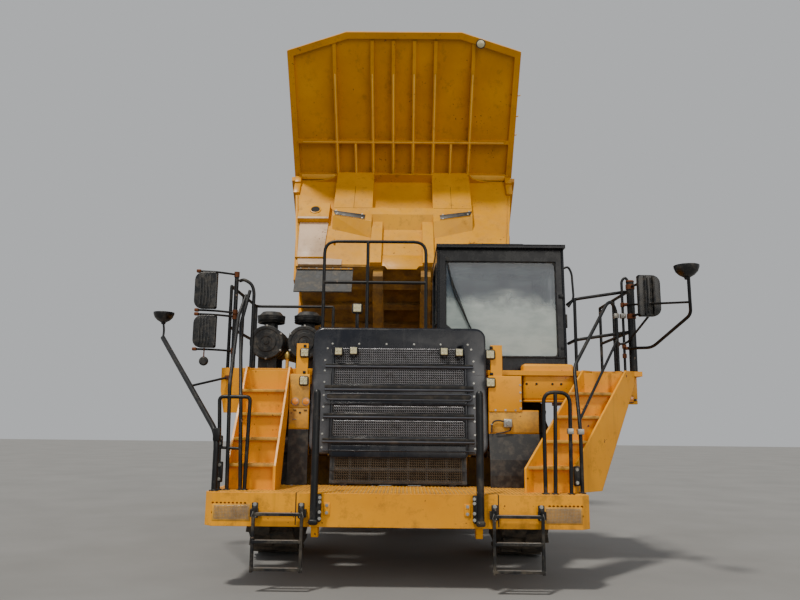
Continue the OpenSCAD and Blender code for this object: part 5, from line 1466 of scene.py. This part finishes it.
def make_wheel_details():
    """Bolt circles, hub covers and valves; each set rides on its own wheel."""
    for side, word in ((-1, "right"), (1, "left")):
        out = Vector((side, 0, 0))
        under = out * 0.001
        wheel = "wheel_front_" + word
        hub = at(side * 1.715, front_axle_y, wheel_middle)
        cover = at(side * 1.8, front_axle_y, wheel_middle)
        parts = Parts(Matrix.Translation(cover))
        parts.disc(out * -0.002, 0.12, 0.03, "steel", out, 0.01)
        parts.disc(out * -0.002, 0.205, 0.01, "yellow", out)
        valve = tube([hub + Vector((0, 0.41, 0)), hub + out * 0.05 + Vector((0, 0.47, 0.03))], 0.009, sides=8)
        piece("front_hub_" + word, parts + [(valve, "brass")], wheel)
        places = circle_of(hub - under, 0.33, 20, out) + circle_of(cover - under, 0.165, 8, out)
        bolt_heads("front_bolts_" + word, places, 0.021, 0.02, wheel, "steel")
        wheel = "wheels_rear_" + word
        hub = at(side * 2.015, rear_axle_y, wheel_middle)
        cover = at(side * 2.14, rear_axle_y, wheel_middle)
        raised = out * 0.016
        parts = Parts(Matrix.Translation(cover))
        parts.disc(out * -0.002, 0.16, 0.02, "yellow", out, 0.008)
        parts.disc(raised, 0.045, 0.016, "steel", out, 0.006)
        valve = tube([hub + Vector((0, 0, 0.47)), hub + out * 0.06 + Vector((0, 0, 0.53))], 0.009, sides=8)
        piece("rear_hub_" + word, parts + [(valve, "brass")], wheel)
        places = circle_of(hub - under, 0.375, 24, out) + circle_of(cover - under, 0.29, 16, out)
        places += circle_of(cover + raised, 0.11, 6, out)
        bolt_heads("rear_bolts_" + word, places, 0.02, 0.02, wheel, "steel")


def make_tank_details():
    """Straps with their bolts, and a gauge on the outer side of each tank."""
    parts = Parts()
    heads = []
    rim = [(0, 0), (0, 0.055), (0.014, 0.055), (0.02, 0.046), (0.014, 0.04), (0.014, 0)]
    glass = [(0, 0), (0, 0.04), (0.016, 0.038), (0.016, 0)]
    for name, side in (("fuel_tank", 1), ("hydraulic_tank", -1)):
        low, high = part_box(name)
        outer = high.x if side > 0 else low.x
        way = (side, 0, 0)
        middle = (low + high) / 2
        for share in (0.22, 0.78):
            y = low.y + (high.y - low.y) * share
            foot = (outer - 0.01, y - 0.035, middle.z - 0.3)
            parts.put("frame_yellow", slab(foot, (outer + 0.008, y + 0.035, middle.z + 0.3), 0.004))
            heads += [(Vector((outer + side * 0.007, y, middle.z + z)), way) for z in (-0.24, 0.24)]
        gauge = Vector((outer + side * 0.001, middle.y, middle.z))
        parts.put("dark", turned(rim, gauge, way))
        parts.put("mirror", turned(glass, gauge, way))
    piece("tank_fittings", parts, "chassis")
    bolt_heads("tank_bolts", heads, 0.015, 0.01)


make_hood()
make_grille()
make_bumper_details()
make_ladder_details()
make_stair_details()
make_panel_details()
make_front_lamps()
make_handrails()
make_right_mirrors()
make_left_mirrors()
make_air_cleaner_details()
make_hood_top_details()
make_bed_front_details()
make_canopy_details()
make_bed_under_details()
make_cab_inside()
make_cab_details()
make_wheel_details()
make_tank_details()
